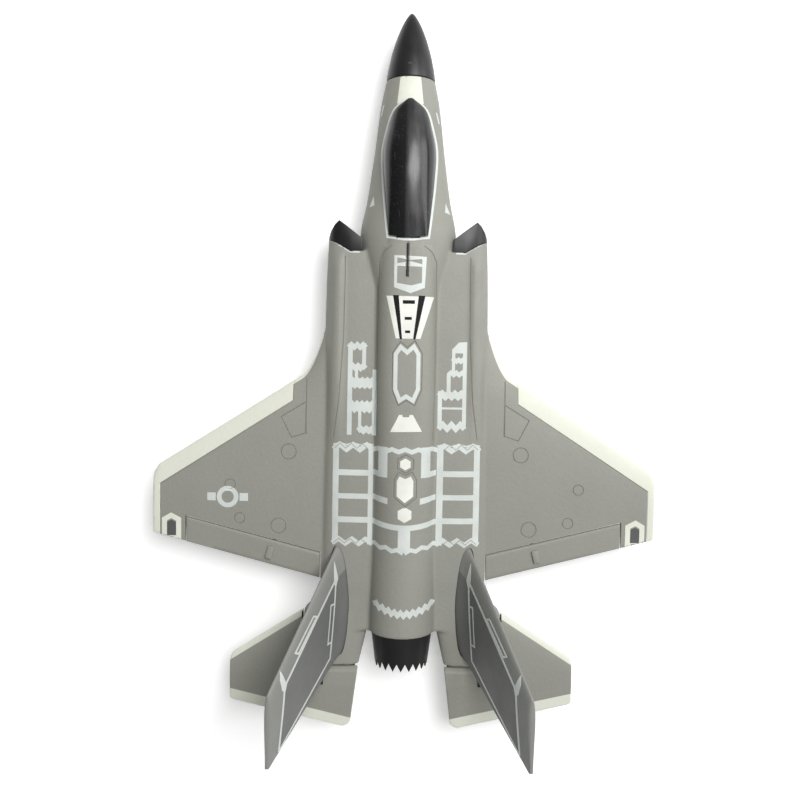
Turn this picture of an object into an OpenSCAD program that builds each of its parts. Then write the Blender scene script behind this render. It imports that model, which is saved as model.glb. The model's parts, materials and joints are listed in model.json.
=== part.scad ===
// Small foam radio-controlled jet with one ducted fan, built as it comes apart on a bench.
// Nose toward -Y, left wing toward +X, +Z up. The shapes are drawn about the fan axis, and placed()
// then lifts them so that the origin lies on the belly's resting face, below the wing spars.

/* [Airframe] */
// Wing span, tip to tip
wing_span = 320; // [306:2:330]
// Thickness of the wing foam at the root
wing_root_t = 9.4; // [8.4:0.2:9.6]
// Thickness of the wing foam at the tip
wing_tip_t = 4.6; // [4:0.2:6]
// Outward cant of each tail fin from vertical, degrees
fin_cant = 25.4; // [20:0.2:28]
// Height of the fin tips above the fan axis
fin_top_z = 78; // [70:1:84]
// Radius of the tail barrel round the fan duct
barrel_r = 21.4; // [21.2:0.1:22.4]

/* [Power unit] */
// Diameter of the fan rotor
rotor_d = 33; // [30:0.5:33]
// Number of fan blades
blade_count = 8; // [5:1:9]
// Number of teeth round the exhaust nozzle
nozzle_teeth = 20; // [12:1:24]
// Length of the battery
battery_l = 48; // [40:1:50]
// Width of the battery
battery_w = 23; // [18:1:24]

/* [Controls] */
// Diameter of each carbon wing spar
spar_d = 3; // [2:0.5:3]
// Diameter of the tail pivot rods
pivot_d = 2; // [1.5:0.25:2.5]
// Diameter of the pushrod wire
wire_d = 0.9; // [0.8:0.1:1]
// Radius of the hole in a servo arm, from the servo shaft
arm_r = 8; // [7.6:0.1:8.4]

/* [Hidden] */
$fn = 48;

half_span = wing_span / 2;
parting_z = -2;            // joint plane between the two fuselage mouldings
parting_gap = 0.1;
fit = 0.3;                 // clearance of a piece in its foam pocket
eps = 0.05;
far = 400;

// Colours
foam = [0.60, 0.61, 0.57];
foam_fin = [0.55, 0.57, 0.55];
black_plastic = [0.08, 0.08, 0.09];
carbon = [0.15, 0.15, 0.16];
steel = [0.75, 0.76, 0.78];
white_plastic = [0.92, 0.92, 0.90];

// Fuselage ahead of the intakes: y, half width, chine z, top z, belly z
nose_y = -236.4;
fore_rows = [
    [nose_y, 15.7, -2, 13.7, -17.7],
    [-220, 18.9, -1.5, 15.6, -19.8],
    [-190, 22.4, 0, 18, -22.4],
    [-160, 26.4, 1, 20.4, -24.6],
    [-134, 30.5, 2, 23, -26],
    [-100, 32, 3, 22, -26.8],
    [-60, 26, 3, 16, -24]
];

// Trunk behind the intakes: y, half width, chine z, deck z, spine z, flank belly z,
// spine half width, deck edge exponent
barrel_end = 115;
boom_half_w = 62;
trunk_rows = [
    [-146, 50, 3, 12.4, 24.4, -25, 21.2, 7],
    [-110, 51.4, 3, 13.4, 24.2, -26.4, 21.4, 7],
    [-60, 52, 3, 13.4, 24, -27, 21.4, 7],
    [0, 52, 3, 12.6, 23.2, -27, 21.4, 7],
    [40, 52, 2.8, 11, 22.2, -25, barrel_r, 7],
    [83, 52, 2, 8, barrel_r, -16, barrel_r, 6],
    [93, 53, 1.5, 7, barrel_r, -13.5, barrel_r, 5],
    [102, boom_half_w, 1, 6.4, barrel_r, -11.4, barrel_r, 4],
    [barrel_end, boom_half_w, 1, 6, barrel_r, -10, barrel_r, 4]
];

// Tail booms behind the barrel: y, inner x, top z, bottom z
boom_end = 137.4;
boom_rows = [
    [104, 20.4, 6.3, -11.2],
    [barrel_end, 22.2, 6, -10],
    [boom_end, 27.2, 5.4, -6.6]
];
belly_flat_z = -26.2;      // the belly's resting face

// Canopy: y, half width, crown z
canopy_front = -221.4;
canopy_rear = -133.2;
canopy_rows = [
    [canopy_front, 1.6, 16.6],
    [-214.6, 9.6, 20],
    [-203, 13.8, 25.4],
    [-189, 16.6, 29.6],
    [-170, 15.9, 31],
    [-150, 14, 28.4],
    [canopy_rear, 12.1, 24.6]
];
canopy_wall = 1;
hatch_rear = -141;         // rear end of the opening under the canopy

// Wing planform
wing_z = 3;
wing_in = 40;
lerx_x = 66;
lerx_k = 0.105;
te_root = 82.6;
te_slope = -0.255;
le_ref = [89.6, -32];
le_slope = 0.642;
tip_corner = 3.5;

// Aileron
ail_in = 53;
ail_out = 138.4;
hinge_in = [60.4, 65.9];
hinge_slope = -0.256;
hinge_gap = 0.6;
hinge_angle = atan(hinge_slope);

// Stabilizer
stab_z = 1;
pivot_y = 131.5;
bearing_r = 2.5;
stab_split = 62.8;
stab_tip = 108.2;
stab_le = [102.4, 132];    // leading edge y at the split and at the tip
stab_t = [6, 3.6];
stab_te_in = 176.8;
stab_te_slope = -0.2546;
stab_front = 139;
stab_in = [27.6, 32.2];    // inner edge x at the front and at the trailing edge

// Fin
fin_base_z = 3.6;
fin_root_z = 8;
fin_root_x = 41.6;
fin_le = [60.5, 124.9];    // leading edge y at the root and at the tip
fin_te = [131.8, 163.8];
fin_t = [5.6, 4];
fairing_t = 10;            // extra thickness of the fairing round the fin root

// Fan and ducts
fan_front = 14;
fan_len = 32;
fan_clear = 0.6;
housing_ri = rotor_d / 2 + fan_clear;
housing_ro = 18.2;
tube_end = 106;
nozzle_tip = 137;
nozzle_r = [19.5, 16.6];
nozzle_wall = 1.1;
tooth_l = 5;
motor_r = 7;
motor_y = [31.5, 50];
motor_mount_y = 30;
hub_r = 7.6;
blade_chord = 9.2;
blade_t = 0.9;
blade_pitch = 40;
shaft_r = 1;

// Servo, measured from its output shaft
servo_fore = 6;
servo_aft = 14;
servo_w = 8.6;
servo_h = 16;
ear_x = 5;                 // depth of the mounting ears below the case top
ear_t = 1.6;
ear_l = 3;
boss_h = 2.4;
boss_r = 3.2;
spline_r = 1.8;
arm_hub_r = 3;
arm_end_r = 1.5;
arm_t = 1.4;
arm_v = 2.6;               // near face of the arm, from the servo case
hole_r = wire_d / 2 + 0.06;
open_hole_r = wire_d / 2 + 0.55;

// Linkages: shaft place and horn hole place in (along the rod, up) about the surface's pivot
tail_x = 48.2;
tail_shaft = [93, -6.4];
tail_hole = [pivot_y + 6.5, -11.5];
wing_link_x = 80;
wing_shaft_u = -38;
wing_shaft_z = -1.2;
wing_hole = [1.5, -8];

function hermite(a, b, ma, mb, u) =
    a * (2 * u ^ 3 - 3 * u ^ 2 + 1) + ma * (u ^ 3 - 2 * u ^ 2 + u)
    + b * (3 * u ^ 2 - 2 * u ^ 3) + mb * (u ^ 3 - u ^ 2);
function slope_at(rows, i, c) =
    let (a = max(0, i - 1), b = min(len(rows) - 1, i + 1))
    (rows[b][c] - rows[a][c]) / (rows[b][0] - rows[a][0]);
function last_below(rows, y) = max([0, for (k = [0 : len(rows) - 2]) if (rows[k][0] <= y) k]);
// Smooth value of column c at station y
function track(rows, y, c) =
    let (i = last_below(rows, y), span = rows[i + 1][0] - rows[i][0])
    hermite(rows[i][c], rows[i + 1][c], span * slope_at(rows, i, c),
            span * slope_at(rows, i + 1, c), (y - rows[i][0]) / span);
function bump(x, centre, width) = exp(-((x - centre) / width) ^ 2);
function stations(a, b, n) = [for (i = [0 : n]) a + (b - a) * i / n];

// Upper and lower surface of the fuselage ahead of the intakes
function fore_top(x, y) =
    let (w = track(fore_rows, y, 1), c = track(fore_rows, y, 2), t = min(1, abs(x) / w))
    c + (track(fore_rows, y, 3) - c) * (1 - t ^ 2.1) ^ 0.5;
function fore_bottom(x, y) =
    let (w = track(fore_rows, y, 1), c = track(fore_rows, y, 2), t = min(1, abs(x) / w))
    c + (track(fore_rows, y, 4) - c) * (1 - t ^ 2.3) ^ 0.5;
function fore_ring(y, n) = [for (j = [0 : n - 1])
    let (a = 360 * j / n, x = track(fore_rows, y, 1) * cos(a))
    [x, y, a <= 180 ? fore_top(x, y) : fore_bottom(x, y)]];

// Upper and lower surface of the trunk
function spine_z(x, y) =
    let (h = track(trunk_rows, y, 6), t = min(1, abs(x) / h), s = track(trunk_rows, y, 4),
         square = 2 + 1.4 * min(1, max(0, (50 - y) / 80)))
    s * (1 - t ^ square) ^ 0.5;
function deck_z(x, y) =
    let (w = track(trunk_rows, y, 1), c = track(trunk_rows, y, 2), t = min(1, abs(x) / w),
         ridge = 1.5 * bump(abs(x), 43, 4) * min(1, max(0, -y / 60)))
    c + (track(trunk_rows, y, 3) - c) * (1 - t ^ track(trunk_rows, y, 7)) ^ 0.5 + ridge;
function trunk_top(x, y) = max(spine_z(x, y), deck_z(x, y));
function trunk_bottom(x, y) =
    let (w = track(trunk_rows, y, 1), c = track(trunk_rows, y, 2), t = min(1, abs(x) / w),
         flank = c + (track(trunk_rows, y, 5) - c) * (1 - t ^ 3.2) ^ 0.6,
         r = barrel_r, barrel = -(max(0, r ^ 2 - x ^ 2)) ^ 0.5)
    min(flank, abs(x) < r ? barrel : flank);
function trunk_ring(y, n) = [for (j = [0 : n - 1])
    let (a = 360 * j / n, x = track(trunk_rows, y, 1) * cos(a))
    [x, y, a <= 180 ? trunk_top(x, y) : trunk_bottom(x, y)]];
function boom_ring(y, n) = [for (j = [0 : n - 1])
    let (a = 360 * j / n, xi = track(boom_rows, y, 1), t = abs(cos(a)),
         x = (boom_half_w + xi) / 2 + (boom_half_w - xi) / 2 * cos(a),
         end_z = a <= 180 ? track(boom_rows, y, 2) : track(boom_rows, y, 3))
    [x, y, stab_z + (end_z - stab_z) * (1 - t ^ 4) ^ 0.5]];

// Closed skin over rings of equal length, each folded in half to close the two ends
module loft(rings) {
    n = len(rings[0]);
    m = len(rings);
    points = [for (ring = rings) each ring];
    sides = [for (i = [0 : m - 2]) for (j = [0 : n - 1])
        [i * n + j, i * n + (j + 1) % n, (i + 1) * n + (j + 1) % n, (i + 1) * n + j]];
    folds = [for (j = [0 : floor(n / 2) - 1]) [j, n - 1 - j, n - 2 - j, j + 1]];
    back = [for (f = folds) [for (k = [3 : -1 : 0]) (m - 1) * n + f[k]]];
    polyhedron(points, concat(sides, folds, back), convexity = 8);
}

// Cylinder along +Y from y0 to y1 about the fan axis
module along_y(y0, y1, ra, rb, x = 0, z = 0) {
    translate([x, y0, z]) rotate([-90, 0, 0]) cylinder(h = y1 - y0, r1 = ra, r2 = rb);
}

// Cylinder along +X from x0 to x1
module along_x(x0, x1, r, y, z) {
    translate([x0, y, z]) rotate([0, 90, 0]) cylinder(h = x1 - x0, r = r);
}

// Sets a finished shape on its belly
module placed() {
    translate([0, 0, -belly_flat_z]) children();
}

module both_sides() {
    children();
    mirror([1, 0, 0]) children();
}

module on_side(side) {
    mirror([side > 0 ? 0 : 1, 0, 0]) children();
}

// ---- Surfaces ----

function foil_t(u) =
    5 * (0.2969 * u ^ 0.5 - 0.126 * u - 0.3516 * u ^ 2 + 0.2843 * u ^ 3 - 0.1015 * u ^ 4);
function foil_points(y0, y1, t, n = 12) =
    let (us = [for (i = [0 : n]) (1 - cos(180 * i / n)) / 2],
         half = [for (u = us) [y0 + (y1 - y0) * u, foil_t(u) * t + 0.75 * u ^ 3]])
    concat(half, [for (i = [n : -1 : 1]) [half[i][0], -half[i][1]]]);

// Thin upright slice of an aerofoil at span place x
module foil_slice(x, y0, y1, t, z) {
    translate([x, 0, z]) rotate([90, 0, 90])
        linear_extrude(0.05) polygon(foil_points(y0, y1, t));
}

function wing_le(x) =
    le_ref[1] + le_slope * (x - le_ref[0]) - lerx_k * max(0, lerx_x - x) ^ 2
    + max(0, x - (half_span - tip_corner)) * 1.1;
function wing_te(x) = te_root + te_slope * (x - 52);
function wing_t(x) = wing_root_t + (wing_tip_t - wing_root_t) * max(0, x - 52) / (half_span - 52);

module wing_blank() {
    xs = [wing_in, 53, 57, 61, lerx_x, half_span - tip_corner, half_span];
    for (i = [0 : len(xs) - 2])
        hull() {
            foil_slice(xs[i], wing_le(max(52, xs[i])), wing_te(xs[i]), wing_t(xs[i]), wing_z);
            foil_slice(xs[i + 1] - 0.05, wing_le(xs[i + 1]), wing_te(xs[i + 1]), wing_t(xs[i + 1]),
                       wing_z);
        }
}

function hinge_y(x) = hinge_in[1] + hinge_slope * (x - hinge_in[0]);
hinge_r = [1.75, 1.3];

// Space swept by the aileron, seen from above
module aileron_bay() {
    lead = hinge_r[0] + hinge_gap;
    translate([0, 0, -far / 2]) linear_extrude(far) polygon([
        [ail_in - hinge_gap, hinge_y(ail_in) - lead],
        [ail_out + hinge_gap, hinge_y(ail_out) - lead],
        [ail_out + hinge_gap, wing_te(ail_out) + 4],
        [ail_in - hinge_gap, wing_te(ail_in) + 4]
    ]);
}

ail_ends = [ail_in - 4, ail_out + 4];
ail_te_t = 1.5;
module aileron_blank() {
    span = ail_ends[1] - ail_ends[0];
    intersection() {
        union() {
            hull() for (i = [0, 1]) {
                h = 2 * hinge_r[i] - 0.1;
                translate([ail_ends[i], hinge_y(ail_ends[i]), wing_z - h / 2]) cube([0.05, 0.05, h]);
                translate([ail_ends[i], wing_te(ail_ends[i]) - eps, wing_z - ail_te_t / 2])
                    cube([0.05, 0.05, ail_te_t]);
            }
            translate([ail_ends[0], hinge_y(ail_ends[0]), wing_z]) rotate([0, 0, hinge_angle])
                rotate([0, 90, 0])
                    cylinder(h = span / cos(hinge_angle), r1 = hinge_r[0], r2 = hinge_r[1]);
        }
        translate([ail_in, 0, -20]) cube([ail_out - ail_in, 120, 50]);
    }
}

// ---- Linkages: X across from the servo case, Y along the rod, Z up ----

// Each linkage: shaft [y, z], horn hole [y, z], surface underside z, surface top z, horn base y
tail_link = [tail_shaft, tail_hole, -2.1, 4.1, 146];
wing_link = [[wing_shaft_u, wing_shaft_z], wing_hole, 1.1, 4.9, 6.5];

module tail_frame() {
    translate([tail_x, 0, 0]) children();
}

module wing_frame() {
    translate([wing_link_x, hinge_y(wing_link_x), 0]) rotate([0, 0, hinge_angle]) children();
}

module servo_pocket(link) {
    s = link[0];
    h = servo_w + 2 * fit;
    translate([-servo_h - fit, s[0] - servo_aft - fit, s[1] - servo_w / 2 - far])
        cube([servo_h + 2 * fit, servo_aft + servo_fore + 2 * fit, far + servo_w + fit]);
    translate([-ear_x - fit, s[0] - servo_aft - ear_l - 0.4, s[1] - h / 2 - far])
        cube([ear_t + 2 * fit, servo_aft + servo_fore + 2 * ear_l + 0.8, far + h]);
    translate([-eps, s[0] - 6.4, s[1] - far]) cube([6, 12.8, far + 3.6]);
}

module servo(link) {
    s = link[0];
    color("mediumblue") {
        translate([-servo_h, s[0] - servo_aft, s[1] - servo_w / 2])
            cube([servo_h, servo_aft + servo_fore, servo_w]);
        translate([-ear_x, s[0] - servo_aft - ear_l, s[1] - servo_w / 2])
            cube([ear_t, servo_aft + servo_fore + 2 * ear_l, servo_w]);
        along_x(-1, boss_h, boss_r, s[0], s[1]);
        along_x(boss_h - 1, arm_v + arm_t, spline_r, s[0], s[1]);
    }
}

module servo_arm(link) {
    s = link[0];
    color(white_plastic) difference() {
        union() {
            along_x(arm_v, arm_v + arm_t, arm_hub_r, s[0], s[1]);
            translate([arm_v, s[0] - arm_end_r, s[1] - arm_r]) cube([arm_t, 2 * arm_end_r, arm_r]);
            along_x(arm_v, arm_v + arm_t, arm_end_r, s[0], s[1] - arm_r);
        }
        along_x(0, 10, spline_r + 0.06, s[0], s[1]);
        along_x(0, 10, hole_r, s[0], s[1] - arm_r);
    }
}

module pushrod(link) {
    a = [link[0][0], link[0][1] - arm_r];
    b = link[1];
    v = arm_v + arm_t + wire_d / 2 + 0.25;
    r = wire_d / 2;
    color(steel) {
        translate([v, a[0], a[1]]) rotate([-90 + atan2(b[1] - a[1], b[0] - a[0]), 0, 0])
            cylinder(h = norm(b - a), r = r);
        for (p = [a, b]) {
            along_x(arm_v - 0.5, v, r, p[0], p[1]);
            translate([v, p[0], p[1]]) sphere(r = 1.25 * r);
        }
    }
}

horn_foot = [4, 8];        // size of a horn's foot and of its back plate
leg_gap = 2.2;
leg_r = 0.5;
module horn_legs(link, grow) {
    for (dy = [-leg_gap, leg_gap])
        translate([arm_v + arm_t / 2, link[4] + dy, link[2] - 0.6])
            cylinder(h = link[3] - link[2] + 0.5, r = leg_r + grow);
}

// Plate of a horn's foot size, from height z
module foot_plate(link, z, h) {
    translate([arm_v + (arm_t - horn_foot[0]) / 2, link[4] - horn_foot[1] / 2, z])
        cube([horn_foot[0], horn_foot[1], h]);
}

module horn(link) {
    b = link[1];
    y = link[4];
    z = link[2];
    color(black_plastic) difference() {
        union() {
            translate([arm_v, 0, 0]) rotate([90, 0, 90]) linear_extrude(arm_t)
                polygon([[b[0] - 1.4, b[1]], [b[0] + 1.4, b[1] - 0.6], [y + 3.8, z - 0.5],
                         [y - 3.8, z - 0.5]]);
            along_x(arm_v, arm_v + arm_t, 1.9, b[0], b[1]);
            foot_plate(link, z - 1, 1);
            horn_legs(link, 0);
        }
        along_x(0, 10, open_hole_r, b[0], b[1]);
    }
}

module horn_plate(link) {
    color(black_plastic) difference() {
        foot_plate(link, link[3], 0.8);
        translate([0, 0, 1]) horn_legs(link, 0.06);
    }
}

// ---- Foam mouldings ----

module duct_slice(s) {
    points = [for (a = [0 : 15 : 345])
        [s[3] * sign(cos(a)) * abs(cos(a)) ^ s[5], s[4] * sign(sin(a)) * abs(sin(a)) ^ s[5]]];
    translate([s[1], s[0], s[2]]) rotate([90, 0, 0]) linear_extrude(0.1) polygon(points);
}

// Intake duct of one side: y, centre x, centre z, half width, half height, corner roundness
duct_rows = [
    [-156, 41, -5, 8.2, 13.4, 0.7],
    [-122, 40.4, -5, 7.8, 12.6, 0.7],
    [-88, 37, -5, 8, 11, 0.8],
    [-55, 30, -3.4, 9, 11.4, 0.9],
    [-20, 17, -1.4, 10.5, 12.5, 1],
    [fan_front, 0, 0, housing_ri, housing_ri, 1]
];

module duct() {
    for (i = [0 : len(duct_rows) - 2])
        hull() {
            duct_slice(duct_rows[i]);
            duct_slice(duct_rows[i + 1]);
        }
}

// Slanted and raked front edge of the intake cowls
lip_inner = [33, -124.5];
lip_slope = -0.618;
lip_rake = 12;
module raked() {
    translate([0, -135, 13]) rotate([lip_rake, 0, 0]) translate([0, 135, -13]) children();
}

function cowl_edge(x, gap) = lip_inner[1] + lip_slope * (x - lip_inner[0]) + gap;

module ahead_of_cowl() {
    raked() translate([0, 0, -far / 2]) linear_extrude(far) polygon([
        [0, -200], [0, cowl_edge(0, parting_gap)], [70, cowl_edge(70, parting_gap)], [70, -200]
    ]);
}

function canopy_w(y) = track(canopy_rows, y, 1);
function canopy_edge(y) = fore_top(canopy_w(y), y);
function hatch_points(inset, a, b) =
    let (ys = stations(a, b, 14))
    concat([for (y = ys) [canopy_w(y) - inset, y]],
           [for (i = [len(ys) - 1 : -1 : 0]) [inset - canopy_w(ys[i]), ys[i]]]);
ledge_y = -207;
ledge_z = 8.9;
magnet_r = 2;
magnet_h = 1.2;
magnet_x = 3.4;
magnet_y = [-210.6, -137.6];
tab_z = 17.1;

// Low rounded hump behind the canopy
hump_w = 12.1;
module rear_hump() {
    loft([for (y = [canopy_rear, -120, -105, -92])
        [for (j = [0 : 19])
            let (a = 18 * j, x = hump_w * cos(a), e = fore_top(hump_w, y))
            [x, y, a <= 180 ? e - 0.3 + (24.6 - e) * sin(a) : 8]]]);
}

module hatch_opening() {
    translate([0, 0, ledge_z]) linear_extrude(40)
        polygon(hatch_points(canopy_wall + 0.2, -214.6, hatch_rear));
    translate([0, 0, -14]) linear_extrude(40) intersection() {
        polygon(hatch_points(canopy_wall + 0.2, ledge_y, hatch_rear));
        translate([-13.2, -215]) square([26.4, 80]);
    }
    translate([-7, hatch_rear - 1, tab_z - 0.1]) cube([14, canopy_rear - hatch_rear - 0.2, 20]);
}

module magnets(z_front, z_rear, h = magnet_h, r = magnet_r) {
    for (x = [-magnet_x, magnet_x]) {
        translate([x, magnet_y[0], z_front]) cylinder(h = h, r = r, $fn = 32);
        translate([x, magnet_y[1], z_rear]) cylinder(h = h, r = r, $fn = 32);
    }
}

module body_blank() {
    loft([for (y = stations(nose_y, -60, 26)) fore_ring(y, 56)]);
    rear_hump();
    difference() {
        loft([for (y = concat(stations(-146, 80, 30), stations(83, barrel_end, 10)))
            trunk_ring(y, 72)]);
        both_sides() ahead_of_cowl();
    }
    both_sides() loft([for (y = stations(104, boom_end, 6)) boom_ring(y, 36)]);
}

// Slot for a wing spar, open to the wing's underside
module spar_slot() {
    r = spar_d / 2 + 0.1;
    along_x(28, 122, r, 0, wing_z);
    translate([28, -r, parting_z - 0.05]) cube([94, 2 * r, wing_z - parting_z]);
}

bay_corner = [-14, -142, -14];      // electronics bay
bay_size = [28, 80, 22];
antenna_z = 24.6;
module foam_cavities() {
    hatch_opening();
    magnets(ledge_z - magnet_h - 0.1, tab_z - magnet_h - 0.2, magnet_h + 0.4, magnet_r + 0.1);
    translate(bay_corner) cube(bay_size);
    along_y(nose_y - 1, nose_y + 7, 11.4, 11.4, 0, cone_z);
    along_y(-131, -109, 1, 1, 0, antenna_z);
    both_sides() {
        duct();
        spar_slot();
        tail_frame() servo_pocket(tail_link);
        wing_frame() servo_pocket(wing_link);
        aileron_bay();
        fin_recess();
        along_x(35, 70, bearing_r + 0.15, pivot_y, stab_z);
    }
    along_y(fan_front - 0.4, tube_end + 0.2, housing_ro + 0.3, housing_ro + 0.3);
    along_y(tube_end, barrel_end + 1, nozzle_r[0] + 0.3, nozzle_r[0] + 0.3);
}

module upper_foam() {
    color(foam) difference() {
        union() {
            difference() {
                body_blank();
                translate([-far / 2, -far, parting_z - far]) cube([far, 2 * far, far]);
            }
            both_sides() wing_blank();
        }
        foam_cavities();
    }
}

module lower_foam() {
    color(foam) difference() {
        intersection() {
            body_blank();
            translate([-far / 2, -far, belly_flat_z])
                cube([far, 2 * far, parting_z - parting_gap - belly_flat_z]);
        }
        foam_cavities();
    }
}

// ---- Tail ----

function fin_x(z) = fin_root_x + (z - fin_root_z) * tan(fin_cant);
function fin_mix(pair, z) =
    pair[0] + (pair[1] - pair[0]) * (z - fin_root_z) / (fin_top_z - fin_root_z);
function fin_outline(z, grow) =
    let (t = fin_mix(fin_t, max(z, fin_root_z)) + fairing_t * exp(-(max(0, z - fin_base_z) / 7) ^ 2),
         wide = t / cos(fin_cant) + 2 * grow, y0 = fin_mix(fin_le, z) - grow,
         y1 = fin_mix(fin_te, z) + grow)
    [for (p = foil_points(y0, y1, wide, 14)) [fin_x(z) + p[1], p[0], z]];

module fin_blank(z0, grow) {
    zs = concat([z0, 6, 8, 10, 13, 17], stations(22, fin_top_z, 3));
    rings = [for (z = zs) fin_outline(z, grow)];
    n = len(rings[0]);
    m = len(rings);
    sides = [for (i = [0 : m - 2]) for (j = [0 : n - 1])
        [i * n + j, (i + 1) * n + j, (i + 1) * n + (j + 1) % n, i * n + (j + 1) % n]];
    polyhedron([for (r = rings) each r], concat(sides, [[for (j = [0 : n - 1]) j]],
        [[for (j = [n - 1 : -1 : 0]) (m - 1) * n + j]]), convexity = 6);
}

module fin_recess() {
    fin_blank(fin_base_z - 0.25, 0.25);
}

module fin(side) {
    on_side(side) color(foam_fin) fin_blank(fin_base_z, 0);
}

function stab_te(x) = stab_te_in + stab_te_slope * (x - stab_in[1]);

// Upright bar of height h centred on the stabilizer's mid plane
module stab_post(x, y, h) {
    translate([x - 0.05, y - 0.05, stab_z - h / 2]) cube([0.1, 0.1, h]);
}

module stabilizer(side) {
    on_side(side) color(foam) difference() {
        union() {
            hull() {
                foil_slice(stab_split, stab_le[0], stab_te(stab_split), stab_t[0], stab_z);
                foil_slice(stab_tip - 0.05, stab_le[1], stab_te(stab_tip), stab_t[1], stab_z);
            }
            hull() {
                for (x = [stab_in[0], stab_split + 0.2]) {
                    stab_post(x, stab_front, 1);
                    stab_post(x, stab_front + 2.8, 5.4);
                }
                for (x = [stab_in[1], stab_split + 0.2])
                    stab_post(x, stab_te(x), 1.6);
            }
        }
        along_x(60, 98, pivot_d / 2 + 0.08, pivot_y, stab_z);
        tail_frame() horn_legs(tail_link, 0.1);
    }
}

module aileron(side) {
    on_side(side) color(foam) difference() {
        aileron_blank();
        wing_frame() horn_legs(wing_link, 0.1);
    }
}

module pivot_rod(side) {
    on_side(side) color(carbon) along_x(36, 97, pivot_d / 2, pivot_y, stab_z);
}

module pivot_bearing(side) {
    on_side(side) color(white_plastic) difference() {
        along_x(36, 61.6, bearing_r, pivot_y, stab_z);
        along_x(35, 63, pivot_d / 2 + 0.05, pivot_y, stab_z);
    }
}

module wing_spar(side) {
    on_side(side) color(carbon) difference() {
        along_x(28.5, 121.5, spar_d / 2, 0, wing_z);
        along_x(28, 122, spar_d / 4, 0, wing_z);
    }
}

// ---- Nose, canopy and intakes ----

cone_r = 15.7;
cone_z = -2;
cone_l = 44.8;
cone_wall = 1.4;
function cone_profile(u) = (1 - u ^ 1.4) ^ 0.7;
function cone_curve(r, l) = [for (i = [0 : 16]) let (u = i / 16) [r * cone_profile(u), l * u]];

module nose_cone() {
    inner = cone_curve(cone_r - cone_wall, cone_l - 4);
    color(black_plastic) translate([0, nose_y - 0.1, cone_z]) rotate([90, 0, 0]) {
        rotate_extrude() polygon(concat(cone_curve(cone_r, cone_l), [[0, cone_l - 4]],
            [for (i = [15 : -1 : 0]) inner[i]]));
        translate([0, 0, -6.4]) difference() {
            cylinder(h = 8.4, r = 11);
            translate([0, 0, -1]) cylinder(h = 11, r = 9.6);
        }
        difference() {
            cylinder(h = 2, r = cone_r - 1);
            translate([0, 0, -1]) cylinder(h = 4, r = 9.6);
        }
    }
}

canopy_seat = 0.15;        // gap between the canopy rim and the foam
function canopy_ring(y, inset) =
    let (w = max(0.3, canopy_w(y) - inset), e = fore_top(w, y) + canopy_seat,
         top = track(canopy_rows, y, 2) - inset)
    [for (j = [0 : 24]) let (a = 180 * j / 24) [w * cos(a), y, e + (top - e) * sin(a) ^ 0.9]];

module canopy_shell() {
    ys = concat([canopy_front, -219.5, -217.4], stations(-214.6, canopy_rear - 0.15, 22));
    rings = [for (y = ys) concat(canopy_ring(y, 0),
        [for (j = [24 : -1 : 0]) canopy_ring(y, y < -217 ? 0.7 : canopy_wall)[j]])];
    color(black_plastic) difference() {
        loft(rings);
        rear_tab(0.3);
    }
}

module rear_tab(grow) {
    translate([-6 - grow, hatch_rear - 3, tab_z - grow])
        cube([12 + 2 * grow, canopy_rear - 1.6 - hatch_rear + 3, 1.8 + 2 * grow]);
}

module canopy_base() {
    ys = stations(-214.2, hatch_rear - 0.5, 12);
    rings = [for (y = ys)
        let (w = canopy_w(y) - canopy_wall - 0.5, e = canopy_edge(y))
        [[w, y, e + 0.8], [0, y, e + 2.2], [-w, y, e + 0.8], [-w, y, max(ledge_z + 0.3, e - 4.4)],
         [w, y, max(ledge_z + 0.3, e - 4.4)]]];
    color(foam) difference() {
        union() {
            loft(rings);
            rear_tab(0);
        }
        magnets(ledge_z + 0.1, tab_z - 0.1, magnet_h + 0.4, magnet_r + 0.1);
    }
}

module canopy_magnets() {
    color(steel) magnets(ledge_z + 0.35, tab_z + 0.05);
}

module body_magnets() {
    color(steel) magnets(ledge_z - magnet_h - 0.05, tab_z - magnet_h - 0.15);
}

// Cowl section at the intake, as seen from the front: [x, z] points from the deck to the belly
module lip_section() {
    y = -134;
    w = track(trunk_rows, y, 1);
    xs = [for (i = [0 : 12]) 31 + (w - 31) * sin(90 * i / 12)];
    polygon(concat([for (x = xs) [x, deck_z(x, y)]],
                   [for (i = [11 : -1 : 0]) [xs[i], trunk_bottom(xs[i], y)]]));
}

module intake_lip(side) {
    plan = [[28, -134], [30.6, -135.5], [44.7, -146.8], [48.3, -142.4], [51.5, -137.6],
            [51.5, cowl_edge(51.5, -0.1)], [28, cowl_edge(28, -0.1)]];
    on_side(side) color(black_plastic) intersection() {
        translate([0, -110, 0]) rotate([90, 0, 0]) linear_extrude(60) difference() {
            lip_section();
            offset(delta = -2) hull() {
                lip_section();
                translate([-8, 0]) lip_section();
            }
        }
        raked() translate([0, 0, -60]) linear_extrude(120) polygon(plan);
    }
}

module antenna_wire() {
    color(black_plastic) {
        along_y(-130, -110, 0.6, 0.6, 0, antenna_z);
        along_y(-114, -110, 0.85, 0.85, 0, antenna_z);
    }
}

// ---- Power unit ----

module motor_screw_places() {
    for (a = [0, 180])
        rotate([0, a, 0]) translate([4.4, 0, 0]) children();
}

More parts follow.
